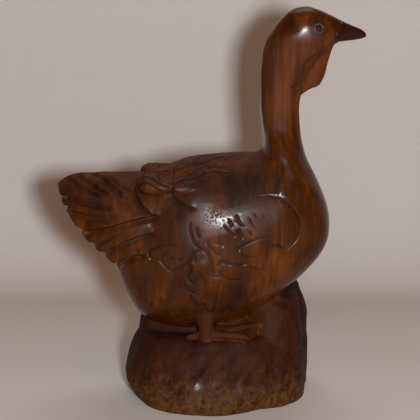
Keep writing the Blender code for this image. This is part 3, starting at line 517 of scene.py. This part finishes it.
# Soft swellings under the carving: frame, place in percent, radius and height in mm
swellings = [
    (inBody, (38, 77), 9, 1.3), (inBody, (74, 60), 13, 0.9), (inBody, (15.5, 74), 7, 1.0),
    (inBody, (40, 34), 5, 0.6), (inBody, (55, 31), 6, 0.5), (inBody, (66, 45), 6, 0.5),
    (inHead, (60, 40), 6, 0.5), (inHead, (40, 78), 6, 0.4), (inHead, (52, -8), 4, 0.4),
]

# Darker and lighter clouds in the wood: frame, place in percent, radius in mm, darker below zero
woodClouds = [
    (inBody, (53, 80), 13, -0.9), (inBody, (67, 84), 9, -1.0), (inBody, (34, 79), 10, -0.7),
    (inBody, (53, 14), 9, -0.8), (inBody, (53.2, 14.7), 11, -0.6), (inBody, (22, 54), 9, -0.5),
    (inBody, (39, 50), 8, -0.3),
    (inTail, (50, 22), 10, -0.7), (inTail, (95, 25), 9, -0.7), (inTail, (64, 40), 9, -0.4),
    (inBody, (74, 30), 13, 0.8), (inBody, (76, 42), 9, 0.5), (inBody, (71, 58), 8, 0.3),
    (inBody, (20, 12), 8, 0.3), (inHead, (44, 30), 7, 0.1), (inHead, (60, 40), 6, 0.5),
    (inHead, (22, 68), 7, -0.8), (inHead, (64, 75), 6, -0.3), (inHead, (22, -76), 14, 0.6),
    (inHead, (5, -24), 6, -0.4),
]

# Heights in mm between which the wax on neck and back is dull
wax = {"neckLow": 140, "neckHigh": 199, "backLow": 84, "backHigh": 150, "backDull": 0.9}

# Patches of dull wax and, below zero, of rubbed wax, as the clouds are
waxPatches = [
    (inBody, (25.6, 33.5), 6, 0.6), (inBody, (46.5, 29.9), 6, 0.5), (inBody, (38.9, 79.7), 8, 0.3),
    (inBody, (21.1, 72.8), 20, 0.55), (inBody, (36.1, 54.4), 7, 0.45), (inBody, (34.1, 37.0), 12, 0.3),
    (inHead, (36.0, 91.7), 6, 0.35), (inTail, (90.2, 9.8), 11, 0.8), (inBody, (68.1, 60.2), 11, 0.7),
    (inRock, (39.1, 4.7), 2.5, -1.0), (inRock, (50.3, 4.7), 2.5, -1.0), (inRock, (64.9, 4.7), 2.5, -1.0),
]

lineGroups = [(inTail, tailLines), (inBody, wingLines), (inBody, plumeLines), (inHead, headLines),
              (inRock, rockLines)]
towards = {"above": (0, 1), "below": (0, -1), "ahead": (1, 0), "behind": (-1, 0)}


# A drawn line carried from the sight point on to the surface
def carryLine(tree, framePoint, points, steps=6):
    carried = []
    for point in smoothRow([tuple(framePoint(u, v)) for u, v in points], steps):
        hit = tree.ray_cast(sight, (Vector(point) - sight).normalized())[0]
        if hit is not None:
            carried.append(tuple(hit))
    return np.array(carried)


# Distance in mm to the line, side of it, nearest place along it, and its length
def nearLine(points, normals, line):
    best = np.full(len(points), 1e9)
    signed, along = np.zeros((2, len(points)))
    walked = 0.0
    for start, end in zip(line, line[1:]):
        length = np.linalg.norm(end - start)
        if length == 0:
            continue
        run = (end - start) / length
        reach = np.clip((points - start) @ run, 0, length)
        away = points - start - reach[:, None] * run
        gap = np.einsum("ij,ij->i", away, away)
        closer = gap < best
        best[closer] = gap[closer]
        left = np.cross(normals[closer], run)
        signed[closer] = np.sign(np.einsum("ij,ij->i", away[closer], left))
        along[closer] = walked + reach[closer]
        walked += length
    return np.sqrt(best) / mm, signed, along / mm, walked / mm


def leftOrRight(line, raised):
    if not raised:
        return 0
    middle = len(line) // 2
    run = line[middle] - line[middle - 1]
    ahead, up = towards[raised[0]]
    return math.copysign(1, run[0] * up - run[2] * ahead)


def carveLines(places, normals, tree, groups):
    dip, rise, stainAndShade = np.zeros((3, len(places)))
    for framePoint, lines in groups:
        for toolName, *raised, points in lines:
            tool = {"lift": 0.0, "fade": 1.0, "swell": (1.0,), **tools[toolName]}
            line = carryLine(tree, framePoint, points)
            if len(line) < 2:
                continue
            turn = leftOrRight(line, raised)
            reach = (max(tool["wall"], tool["run"]) + 2.5 * tool["fade"] * abs(turn)) * mm
            for flip in (1, -1):
                sideLine = line * np.array([1, flip, 1])
                inside = (places > sideLine.min(axis=0) - reach) & (places < sideLine.max(axis=0) + reach)
                near = np.nonzero(inside.all(axis=1))[0]
                if len(near) == 0:
                    continue
                gap, signed, along, total = nearLine(places[near], normals[near], sideLine)
                size = np.interp(along / total, np.linspace(0, 1, len(tool["swell"])), tool["swell"])
                taper = min(0.45 * total, tool.get("taper", 3.0 * tool["wall"] + 0.5 * tool["run"]))
                ends = smoothStep(np.minimum(along, total - along) / taper + 0.08)
                upSide = signed * turn * flip > 0
                half = np.where(upSide, tool["wall"], tool["run"]) * (0.35 + 0.65 * size)
                bowl = np.clip(1 - (gap / half) ** 2, 0, 1) ** 1.4
                dip[near] = np.maximum(dip[near], tool["depth"] * size * ends * bowl)
                # Stain and painted shade: the colour darkens near the cut's line
                shade = np.exp(-(gap / (0.45 * np.minimum(half, 2.2) + 0.2)) ** 2) * ends * size
                stainAndShade[near] = np.maximum(stainAndShade[near], shade * tool["stainAndShade"])
                if turn:
                    lip = tool["lift"] * np.exp(-gap / tool["fade"]) * smoothStep(gap / (tool["wall"] + 0.5)) * ends
                    rise[near] = np.maximum(rise[near], np.where(upSide, lip, 0))
    return dip, rise, stainAndShade


# Distance in mm to a place on either flank
def spotGaps(places, tree, framePoint, spot):
    centre = carryLine(tree, framePoint, [spot, (spot[0] + 0.1, spot[1])], 1)[0]
    return [np.linalg.norm(places - centre * np.array([1, flip, 1]), axis=1) / mm for flip in (1, -1)]


# Round patches on both flanks, added up
def spreadSpots(places, tree, spots):
    total = np.zeros(len(places))
    for framePoint, spot, radius, amount in spots:
        for gap in spotGaps(places, tree, framePoint, spot):
            total += amount * np.exp(-(gap / radius) ** 2)
    return total


# Hollow facets of a broad gouge on the rock, longer along the slant of the strokes
def knifeFacets(places, zone):
    slant = np.array([[0.76, 0, 0.65], [0, 1, 0], [-0.65, 0, 0.76]]) * np.array([[0.5], [0.9], [1.0]])
    rockPlaces = np.nonzero(zone > 0.01)[0]
    seeds = places[dice.choice(rockPlaces, rock["knifeFacets"], replace=False)] @ slant.T
    best = np.full(len(rockPlaces), 1e9)
    flat = places[rockPlaces] @ slant.T
    for seed in seeds:
        np.minimum(best, ((flat - seed) ** 2).sum(axis=1), out=best)
    dip = np.zeros(len(places))
    dip[rockPlaces] = np.clip(1 - best / (0.5 * rock["knifeFacet"]) ** 2, -0.6, 1) * zone[rockPlaces]
    return dip * rock["facetDepth"] / mm


def readArrays(mesh):
    arrays = []
    for name in ("co", "normal"):
        flat = np.empty(len(mesh.vertices) * 3)
        mesh.vertices.foreach_get(name, flat)
        arrays.append(flat.reshape(-1, 3))
    return arrays


def writePlaces(mesh, places):
    mesh.vertices.foreach_set("co", places.astype(np.float32).ravel())
    mesh.update()


def putInScene(name, data):
    thing = bpy.data.objects.new(name, data)
    bpy.context.collection.objects.link(thing)
    return thing


def bakeModifiers(piece):
    bpy.context.view_layer.update()
    graph = bpy.context.evaluated_depsgraph_get()
    mesh = bpy.data.meshes.new_from_object(piece.evaluated_get(graph))
    piece.modifiers.clear()
    old = piece.data
    piece.data = mesh
    bpy.data.meshes.remove(old)


def meshTree(mesh):
    places, _ = readArrays(mesh)
    return BVHTree.FromPolygons(places.tolist(), [tuple(polygon.vertices) for polygon in mesh.polygons])


def gapTo(tree, places):
    return np.array([tree.find_nearest(place)[3] for place in places]) / mm


# One zone is where the surface of one block is nearer than that of the others
def zoneOf(own, other, softness):
    return smoothStep((other - own) / softness * 0.5 + 0.5)


def blockOf(*makers):
    block = bmesh.new()
    for maker in makers:
        maker(block)
    bmesh.ops.recalc_face_normals(block, faces=block.faces)
    return block


def onBothSides(adder):
    def addBoth(mesh):
        for side in (-1, 1):
            adder(mesh, side)
    return addBoth


def buildGoose():
    blocks = {"bird": blockOf(addBody, onBothSides(addWingEnds), addTail), "dewlap": blockOf(addDewlap),
              "rock": blockOf(addRock), "feet": blockOf(onBothSides(addLeg))}
    mesh = bpy.data.meshes.new("gooseCarving")
    trees = {}
    whole = bmesh.new()
    for name, block in blocks.items():
        trees[name] = BVHTree.FromBMesh(block)
        part = bpy.data.meshes.new(name)
        block.to_mesh(part)
        block.free()
        whole.from_mesh(part)
        bpy.data.meshes.remove(part)
    whole.to_mesh(mesh)
    whole.free()
    piece = putInScene("gooseCarving", mesh)
    remesh = piece.modifiers.new("oneSkin", "REMESH")
    remesh.mode = "VOXEL"
    remesh.voxel_size = surface["voxel"]
    soften = piece.modifiers.new("softenJoins", "SMOOTH")
    soften.factor = 0.5
    soften.iterations = surface["softenRounds"]
    bakeModifiers(piece)
    print("one skin:", len(piece.data.polygons), "faces")

    tree = meshTree(piece.data)
    places, normals = readArrays(piece.data)
    low = places[:, 2] < goose["bodyHeight"] * 0.75
    zone = np.zeros(len(places))
    other = np.minimum(gapTo(trees["bird"], places[low]), gapTo(trees["feet"], places[low]))
    zone[low] = zoneOf(gapTo(trees["rock"], places[low]), other, 3.0)
    swollen = places + normals * (spreadSpots(places, tree, swellings) * mm)[:, None]
    swollen -= normals * (knifeFacets(places, zone) * mm)[:, None]
    writePlaces(piece.data, swollen)
    places, normals = readArrays(piece.data)
    dip, rise, _ = carveLines(places, normals, tree, lineGroups)
    writePlaces(piece.data, places + normals * ((rise - dip) * mm)[:, None])
    print("carved:", len(places), "points")

    thin = piece.modifiers.new("fewerFaces", "DECIMATE")
    thin.ratio = min(1.0, surface["triangles"] / (2 * len(piece.data.polygons)))
    bakeModifiers(piece)
    return piece, tree, trees


piece, tree, trees = buildGoose()
print("thinned:", len(piece.data.polygons), "faces")


def flattenUnderside(piece):
    sawn = bmesh.new()
    sawn.from_mesh(piece.data)
    bmesh.ops.bisect_plane(sawn, geom=sawn.verts[:] + sawn.edges[:] + sawn.faces[:], dist=0.02 * mm,
                           plane_co=(0, 0, 0), plane_no=(0, 0, -1), clear_outer=True)
    bmesh.ops.holes_fill(sawn, edges=[e for e in sawn.edges if e.is_boundary])
    bmesh.ops.triangulate(sawn, faces=sawn.faces)
    sawn.to_mesh(piece.data)
    sawn.free()
    piece.data.shade_smooth()


flattenUnderside(piece)


def setAttribute(mesh, name, values):
    layer = mesh.attributes.new(name, "FLOAT", "POINT")
    layer.data.foreach_set("value", values.astype(np.float32))


# Zones of the look: cuts darkened with stain and painted shade, painted shade round the eye, rock, feet, dewlap,
# beak, pitted patch, clouds, dull wax, and the eye ring's painted sheen, which is empty on the skin
def markZones(piece, tree, trees):
    places, normals = readArrays(piece.data)
    _, _, stainAndShade = carveLines(places, normals, tree, lineGroups)
    gaps = {name: gapTo(part, places) for name, part in trees.items()}
    rockZone = zoneOf(gaps["rock"], np.minimum(gaps["bird"], gaps["feet"]), surface["seam"])
    feetZone = zoneOf(gaps["feet"], np.minimum(gaps["bird"], gaps["rock"]), surface["seam"])
    dewlapZone = zoneOf(gaps["dewlap"], gaps["bird"], 0.8)
    edge = np.array([tuple(inHead(u, v)) for u, v in headLines[0][-1]])[::-1]
    edgeX = np.interp(places[:, 2], edge[:, 2], edge[:, 0])
    high = places[:, 2] > headZ
    beakZone = smoothStep((places[:, 0] - edgeX) / (0.8 * mm) + 0.5) * high
    pitGap = np.minimum(*spotGaps(places, tree, inBody, goose["pitPlace"]))
    pitted = np.clip(1.4 - pitGap / goose["pitRadius"], 0, 1)
    height = places[:, 2] / mm
    upright = normals[:, 2]
    neckMatt = smoothStep((height - wax["neckLow"]) / 12) * smoothStep((wax["neckHigh"] - height) / 8)
    backMatt = smoothStep((upright - 0.3) / 0.35) * smoothStep((height - wax["backLow"]) / 10)
    backMatt *= wax["backDull"] * (height < wax["backHigh"])
    dull = np.maximum.reduce([neckMatt * (1 - beakZone), backMatt, rockZone, feetZone])
    dull += spreadSpots(places, tree, waxPatches)
    clouds = spreadSpots(places, tree, woodClouds)
    # Painted shade in the hollows round the eye ring
    for gap in spotGaps(places, tree, inHead, goose["eyePlace"]):
        for away, width, amount in goose["eyePaintedShade"]:
            stainAndShade = np.maximum(stainAndShade, amount * np.exp(-((gap - away) / width) ** 2))
    zones = {"stainAndShade": stainAndShade, "rock": rockZone, "feet": feetZone, "dewlap": dewlapZone, "beak": beakZone,
             "pitted": pitted, "clouds": clouds, "matt": np.clip(dull, 0, 1), "eyeRing": 0 * stainAndShade}
    for name, values in zones.items():
        setAttribute(piece.data, name, values)


markZones(piece, tree, trees)
print("zones marked")


# A dome in a raised ring, as separate small shells sunk into the head; the ring is coloured with a painted grey
# sheen, and the dome is made a little darker through the stain and painted shade zone
def addEyes(piece):
    mesh = bmesh.new()
    mesh.from_mesh(piece.data)
    stainAndShadeLayer = mesh.verts.layers.float["stainAndShade"]
    ringSheenLayer = mesh.verts.layers.float["eyeRing"]
    target = inHead(*goose["eyePlace"])
    skin = meshTree(piece.data)
    for flip in (1, -1):
        hit, normal = skin.ray_cast(sight, (target - sight).normalized())[:2]
        hit, normal = [Vector((v.x, v.y * flip, v.z)) for v in (hit, normal)]
        turn = normal.to_track_quat("Z", "X").to_matrix().to_4x4()
        place = Matrix.Translation(hit) @ turn
        dome = bmesh.ops.create_uvsphere(mesh, u_segments=20, v_segments=12, radius=goose["eyeRadius"],
                                         matrix=place @ Matrix.Diagonal((1, 1, 0.62, 1)))
        rings = []
        steps = 28
        for k in range(steps):
            angle = 2 * math.pi * k / steps
            out = Vector((math.cos(angle), math.sin(angle), 0))
            centre = place @ (out * goose["eyeRing"])
            ring = addRing(mesh, centre, turn.to_3x3() @ out * goose["eyeRingWidth"] / 2,
                           turn.to_3x3() @ Vector((0, 0, goose["eyeRingHeight"] / 2)))
            rings.append(ring)
            for vert in {v for edge in ring for v in edge.verts}:
                vert[ringSheenLayer] = 1.0
        for low, high in zip(rings, rings[1:] + rings[:1]):
            bmesh.ops.bridge_loops(mesh, edges=low + high)
        for vert in dome["verts"]:
            vert[stainAndShadeLayer] = 0.25
    mesh.to_mesh(piece.data)
    mesh.free()
    piece.data.shade_smooth()


addEyes(piece)


# Voxels and smoothing leave the skin a little proud of the CAD's box
def fitBox(mesh, low, high):
    places = readArrays(mesh)[0]
    least, most = places.min(axis=0), places.max(axis=0)
    low, high = np.maximum(low, least), np.minimum(high, most)
    writePlaces(mesh, low + (places - least) * (high - low) / (most - least))


fitBox(piece.data, *cadBox)
print("fitted to the box")


# An input named n and a number goes by its place in the node's list
def wire(tree, kind, settings=None, **inputs):
    node = tree.nodes.new(kind)
    for name, value in (settings or {}).items():
        setattr(node, name, value)
    for name, value in inputs.items():
        socket = node.inputs[int(name[1:])] if name[0] == "n" and name[1:].isdigit() else node.inputs[name]
        if isinstance(value, bpy.types.NodeSocket):
            tree.links.new(value, socket)
        else:
            socket.default_value = value
    return node


def attribute(tree, name):
    return wire(tree, "ShaderNodeAttribute", {"attribute_name": name}).outputs["Fac"]


def multiply(tree, value, factor):
    return wire(tree, "ShaderNodeMath", {"operation": "MULTIPLY"}, n0=value, n1=factor).outputs[0]


def multiplyAdd(tree, value, factor, more):
    return wire(tree, "ShaderNodeMath", {"operation": "MULTIPLY_ADD"}, n0=value, n1=factor, n2=more).outputs[0]


def remap(tree, value, low, high, newLow, newHigh):
    return wire(tree, "ShaderNodeMapRange", {"clamp": True}, n0=value, n1=low, n2=high, n3=newLow,
                n4=newHigh).outputs[0]


def mixColour(tree, share, first, second):
    return wire(tree, "ShaderNodeMix", {"data_type": "RGBA"}, n0=share, n6=first, n7=second).outputs[2]


def ramp(tree, value, stops):
    node = tree.nodes.new("ShaderNodeValToRGB")
    tree.links.new(value, node.inputs["Fac"])
    elements = node.color_ramp.elements
    while len(elements) < len(stops):
        elements.new(0.5)
    for element, (place, colour) in zip(elements, stops):
        element.position = place
        element.color = (*colour, 1)
    return node.outputs["Color"]


def noiseAt(tree, place, scale, detail, roughness, distortion):
    mapped = wire(tree, "ShaderNodeMapping", Vector=place, Scale=scale)
    node = wire(tree, "ShaderNodeTexNoise", Vector=mapped.outputs["Vector"], Scale=1.0, Detail=detail,
                Roughness=roughness, Distortion=distortion)
    return node.outputs["Fac"]


# The wood's colours and grain, the share that each zone's colour takes, and the wax
wood = {
    "dark": (0.016, 0.0052, 0.0022),
    "middle": (0.053, 0.0134, 0.0024),
    "warm": (0.124, 0.034, 0.0048),
    # recess: stain in the cuts together with painted shade in the grooves and valleys
    "recess": (0.0046, 0.0034, 0.0032),
    "rockDark": (0.0145, 0.0024, 0.0010),
    "sapwood": (0.092, 0.037, 0.009),
    "beak": (0.021, 0.0056, 0.0040),
    "dewlap": (0.095, 0.023, 0.0045),
    "feet": (0.046, 0.0105, 0.0020),
    # eyeRing: a grey-lilac painted sheen on the raised eye ring
    "eyeRing": (0.058, 0.044, 0.046),
    "grain": ((420, 420, 26), 4, 0.6, 0.3),  # Scale on x, y and z, detail, roughness, distortion
    "streak": ((95, 95, 9), 3, 0.5, 0.6),
    "cloud": ((24, 24, 14), 2, 0.5, 0.4),
    "mottle": ((210, 210, 170), 5, 0.65, 1.6),
    "pores": ((2600, 2600, 240), 2, 0.5, 0.0),
    "waves": ((210, 210, 120), 2, 0.5, 0.0),
    "zoneShares": {"feet": 0.75, "dewlap": 0.7, "beak": 0.85, "eyeRing": 0.9},
    "recessShare": 0.9,
    "rockShare": 0.65,
    "gloss": 0.13,
    "dullShares": {"stainAndShade": 0.35, "matt": 0.5},
    "shine": 0.14,
    "rimTop": 32 * mm,
    "rimFull": 6 * mm,
    "bumpHeight": 0.22 * mm,
}


# Wax over dark hardwood whose grain runs upright
def woodMaterial():
    material = bpy.data.materials.new("waxedHardwood")
    material.use_nodes = True
    tree = material.node_tree
    shader = tree.nodes["Principled BSDF"]
    place = tree.nodes.new("ShaderNodeTexCoord").outputs["Object"]
    grain, streak, cloud = [noiseAt(tree, place, *wood[name]) for name in ("grain", "streak", "cloud")]
    tone = attribute(tree, "clouds")
    for layer, share in ((grain, 2.5), (streak, 3.0), (cloud, 2.0)):
        tone = multiplyAdd(tree, multiplyAdd(tree, layer, 1.0, -0.5), share, tone)
    heart = ramp(tree, remap(tree, tone, -1.5, 1.5, 0.0, 1.0),
                 [(0.1, wood["dark"]), (0.5, wood["middle"]), (0.9, wood["warm"])])
    height = wire(tree, "ShaderNodeSeparateXYZ", Vector=place).outputs["Z"]
    mottle = noiseAt(tree, place, *wood["mottle"])
    rim = remap(tree, height, wood["rimTop"], wood["rimFull"], 0.0, 1.0)
    rimShare = wire(tree, "ShaderNodeMath", {"operation": "ADD", "use_clamp": True},
                    n0=multiplyAdd(tree, mottle, 4.5, -2.6), n1=rim).outputs[0]
    stone = mixColour(tree, wood["rockShare"], heart, (*wood["rockDark"], 1))
    stone = mixColour(tree, multiply(tree, rimShare, rim), stone, (*wood["sapwood"], 1))
    colour = mixColour(tree, attribute(tree, "rock"), heart, stone)
    for name, most in wood["zoneShares"].items():
        colour = mixColour(tree, multiply(tree, attribute(tree, name), most), colour, (*wood[name], 1))
    # Cuts darkened by stain and painted shade
    stainAndShadeShare = multiply(tree, attribute(tree, "stainAndShade"), wood["recessShare"])
    colour = mixColour(tree, stainAndShadeShare, colour, (*wood["recess"], 1))
    tree.links.new(colour, shader.inputs["Base Color"])

    pits = wire(tree, "ShaderNodeTexVoronoi", Vector=place, Scale=900.0).outputs["Distance"]
    pores = noiseAt(tree, place, *wood["pores"])
    waves = noiseAt(tree, place, *wood["waves"])
    relief = multiply(tree, remap(tree, pits, 0.1, 0.45, -1.0, 0.0), attribute(tree, "pitted"))
    relief = multiplyAdd(tree, waves, 0.22, multiplyAdd(tree, pores, 0.10, relief))
    bump = wire(tree, "ShaderNodeBump", Height=relief, Strength=1.0, Distance=wood["bumpHeight"])
    tree.links.new(bump.outputs["Normal"], shader.inputs["Normal"])
    roughness = multiplyAdd(tree, streak, 0.10, wood["gloss"])
    for name, share in wood["dullShares"].items():
        roughness = multiplyAdd(tree, attribute(tree, name), share, roughness)
    tree.links.new(roughness, shader.inputs["Roughness"])
    shader.inputs["Specular IOR Level"].default_value = wood["shine"]
    return material


piece.data.materials.clear()
piece.data.materials.append(woodMaterial())
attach(piece, "root")
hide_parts(nodeName)
print("waxed")


# Pale cloth, a small lamp beside the lens as in the photo, two soft lamps, a warm dim room
studio = {
    "cloth": (0.585, 0.56, 0.545),
    "halfWidth": 1.6,
    "front": -0.9,
    "bend": 0.17,
    "bendRadius": 0.06,
    "wallTop": 0.42,
    "room": (1, 0.43, 0.13),
    "roomLevel": 0.17,
    "sky": (0.46, 0.43, 0.40),
    "lamps": {  # Place, aim, size, watts, colour
        "keyLamp": ((0.071, -0.80, 0.285), (0, 0, 0.11), (0.05, 0.05), 6.2, (0.97, 1, 1)),
        "roomLamp": ((0.05, -0.70, 1.3), (0, 0, 0.1), (0.25, 0.25), 0.8, (1, 0.6, 0.3)),
        "topLamp": ((0.0, 0.45, 1.1), (0, 0, 0.1), (0.7, 0.5), 3.4, (1, 0.94, 0.92)),
    },
    "cameraPlace": (0, -0.7795, 0.285),
    "cameraAim": (0, 0, 0.1016),
    "lens": 36 * 1500 / 420,
}


def turnTowards(thing, aim):
    thing.rotation_euler = (Vector(aim) - thing.location).to_track_quat("-Z", "Y").to_euler()


def mixShaders(tree, share, first, second, output):
    node = tree.nodes.new("ShaderNodeMixShader")
    for socket, source in zip(node.inputs, (share, first, second)):
        tree.links.new(source, socket)
    tree.links.new(node.outputs[0], tree.nodes[output].inputs["Surface"])


# The wall lets a camera behind it see the goose
def clothMaterial():
    material = bpy.data.materials.new("paleCloth")
    material.use_nodes = True
    tree = material.node_tree
    shader = tree.nodes["Principled BSDF"]
    shader.inputs["Base Color"].default_value = (*studio["cloth"], 1)
    shader.inputs["Roughness"].default_value = 0.9
    shader.inputs["Specular IOR Level"].default_value = 0.1
    seenBehind = tree.nodes.new("ShaderNodeNewGeometry").outputs["Backfacing"]
    clear = tree.nodes.new("ShaderNodeBsdfTransparent").outputs[0]
    mixShaders(tree, seenBehind, shader.outputs[0], clear, "Material Output")
    return material


# One sheet: floor, rounded bend and wall
def addStage():
    sheet = bmesh.new()
    made = bmesh.ops.create_grid(sheet, x_segments=1, y_segments=1, size=1.0)
    for vert in made["verts"]:
        depth = studio["front"] if vert.co.y < 0 else studio["bend"]
        vert.co = Vector((vert.co.x * studio["halfWidth"], depth, 0))
    edge = [e for e in sheet.edges if all(v.co.y > 0 for v in e.verts)]
    radius = studio["bendRadius"]
    profile = [(radius * math.sin(a), radius * (1 - math.cos(a))) for a in np.linspace(0, math.pi / 2, 13)[1:]]
    profile.append((radius, studio["wallTop"]))
    for ahead, height in profile:
        up = bmesh.ops.extrude_edge_only(sheet, edges=edge)["geom"]
        edge = [g for g in up if isinstance(g, bmesh.types.BMEdge)]
        for vert in [g for g in up if isinstance(g, bmesh.types.BMVert)]:
            vert.co.y = studio["bend"] + ahead
            vert.co.z = height
    bmesh.ops.recalc_face_normals(sheet, faces=sheet.faces)
    if max(sheet.faces, key=lambda face: face.calc_area()).normal.z < 0:
        bmesh.ops.reverse_faces(sheet, faces=sheet.faces)
    mesh = bpy.data.meshes.new("paleCloth")
    sheet.to_mesh(mesh)
    sheet.free()
    mesh.shade_smooth()
    mesh.materials.append(clothMaterial())
    cloth = putInScene("paleCloth", mesh)


def addLamp(name, place, aim, size, watts, colour):
    data = bpy.data.lights.new(name, "AREA")
    data.shape = "RECTANGLE"
    data.size, data.size_y = size
    data.energy = watts
    data.color = colour
    lamp = putInScene(name, data)
    lamp.location = place
    turnTowards(lamp, aim)


# Warm and dim as a light, pale where the camera sees past the cloth
def addRoom():
    world = bpy.data.worlds.new("softRoom")
    world.use_nodes = True
    tree = world.node_tree
    room = tree.nodes["Background"]
    room.inputs["Color"].default_value = (*studio["room"], 1)
    room.inputs["Strength"].default_value = studio["roomLevel"]
    sky = tree.nodes.new("ShaderNodeBackground")
    sky.inputs["Color"].default_value = (*studio["sky"], 1)
    cameraRay = tree.nodes.new("ShaderNodeLightPath").outputs["Is Camera Ray"]
    mixShaders(tree, cameraRay, room.outputs[0], sky.outputs[0], "World Output")
    bpy.context.scene.world = world


def addCamera():
    data = bpy.data.cameras.new("photoCamera")
    data.sensor_width = 36
    data.lens = studio["lens"]
    camera = putInScene("photoCamera", data)
    camera.location = studio["cameraPlace"]
    turnTowards(camera, studio["cameraAim"])
    bpy.context.scene.camera = camera


addStage()
for name, values in studio["lamps"].items():
    addLamp(name, *values)
addRoom()
addCamera()
bpy.context.scene.view_settings.view_transform = "Standard"
print("studio lit")
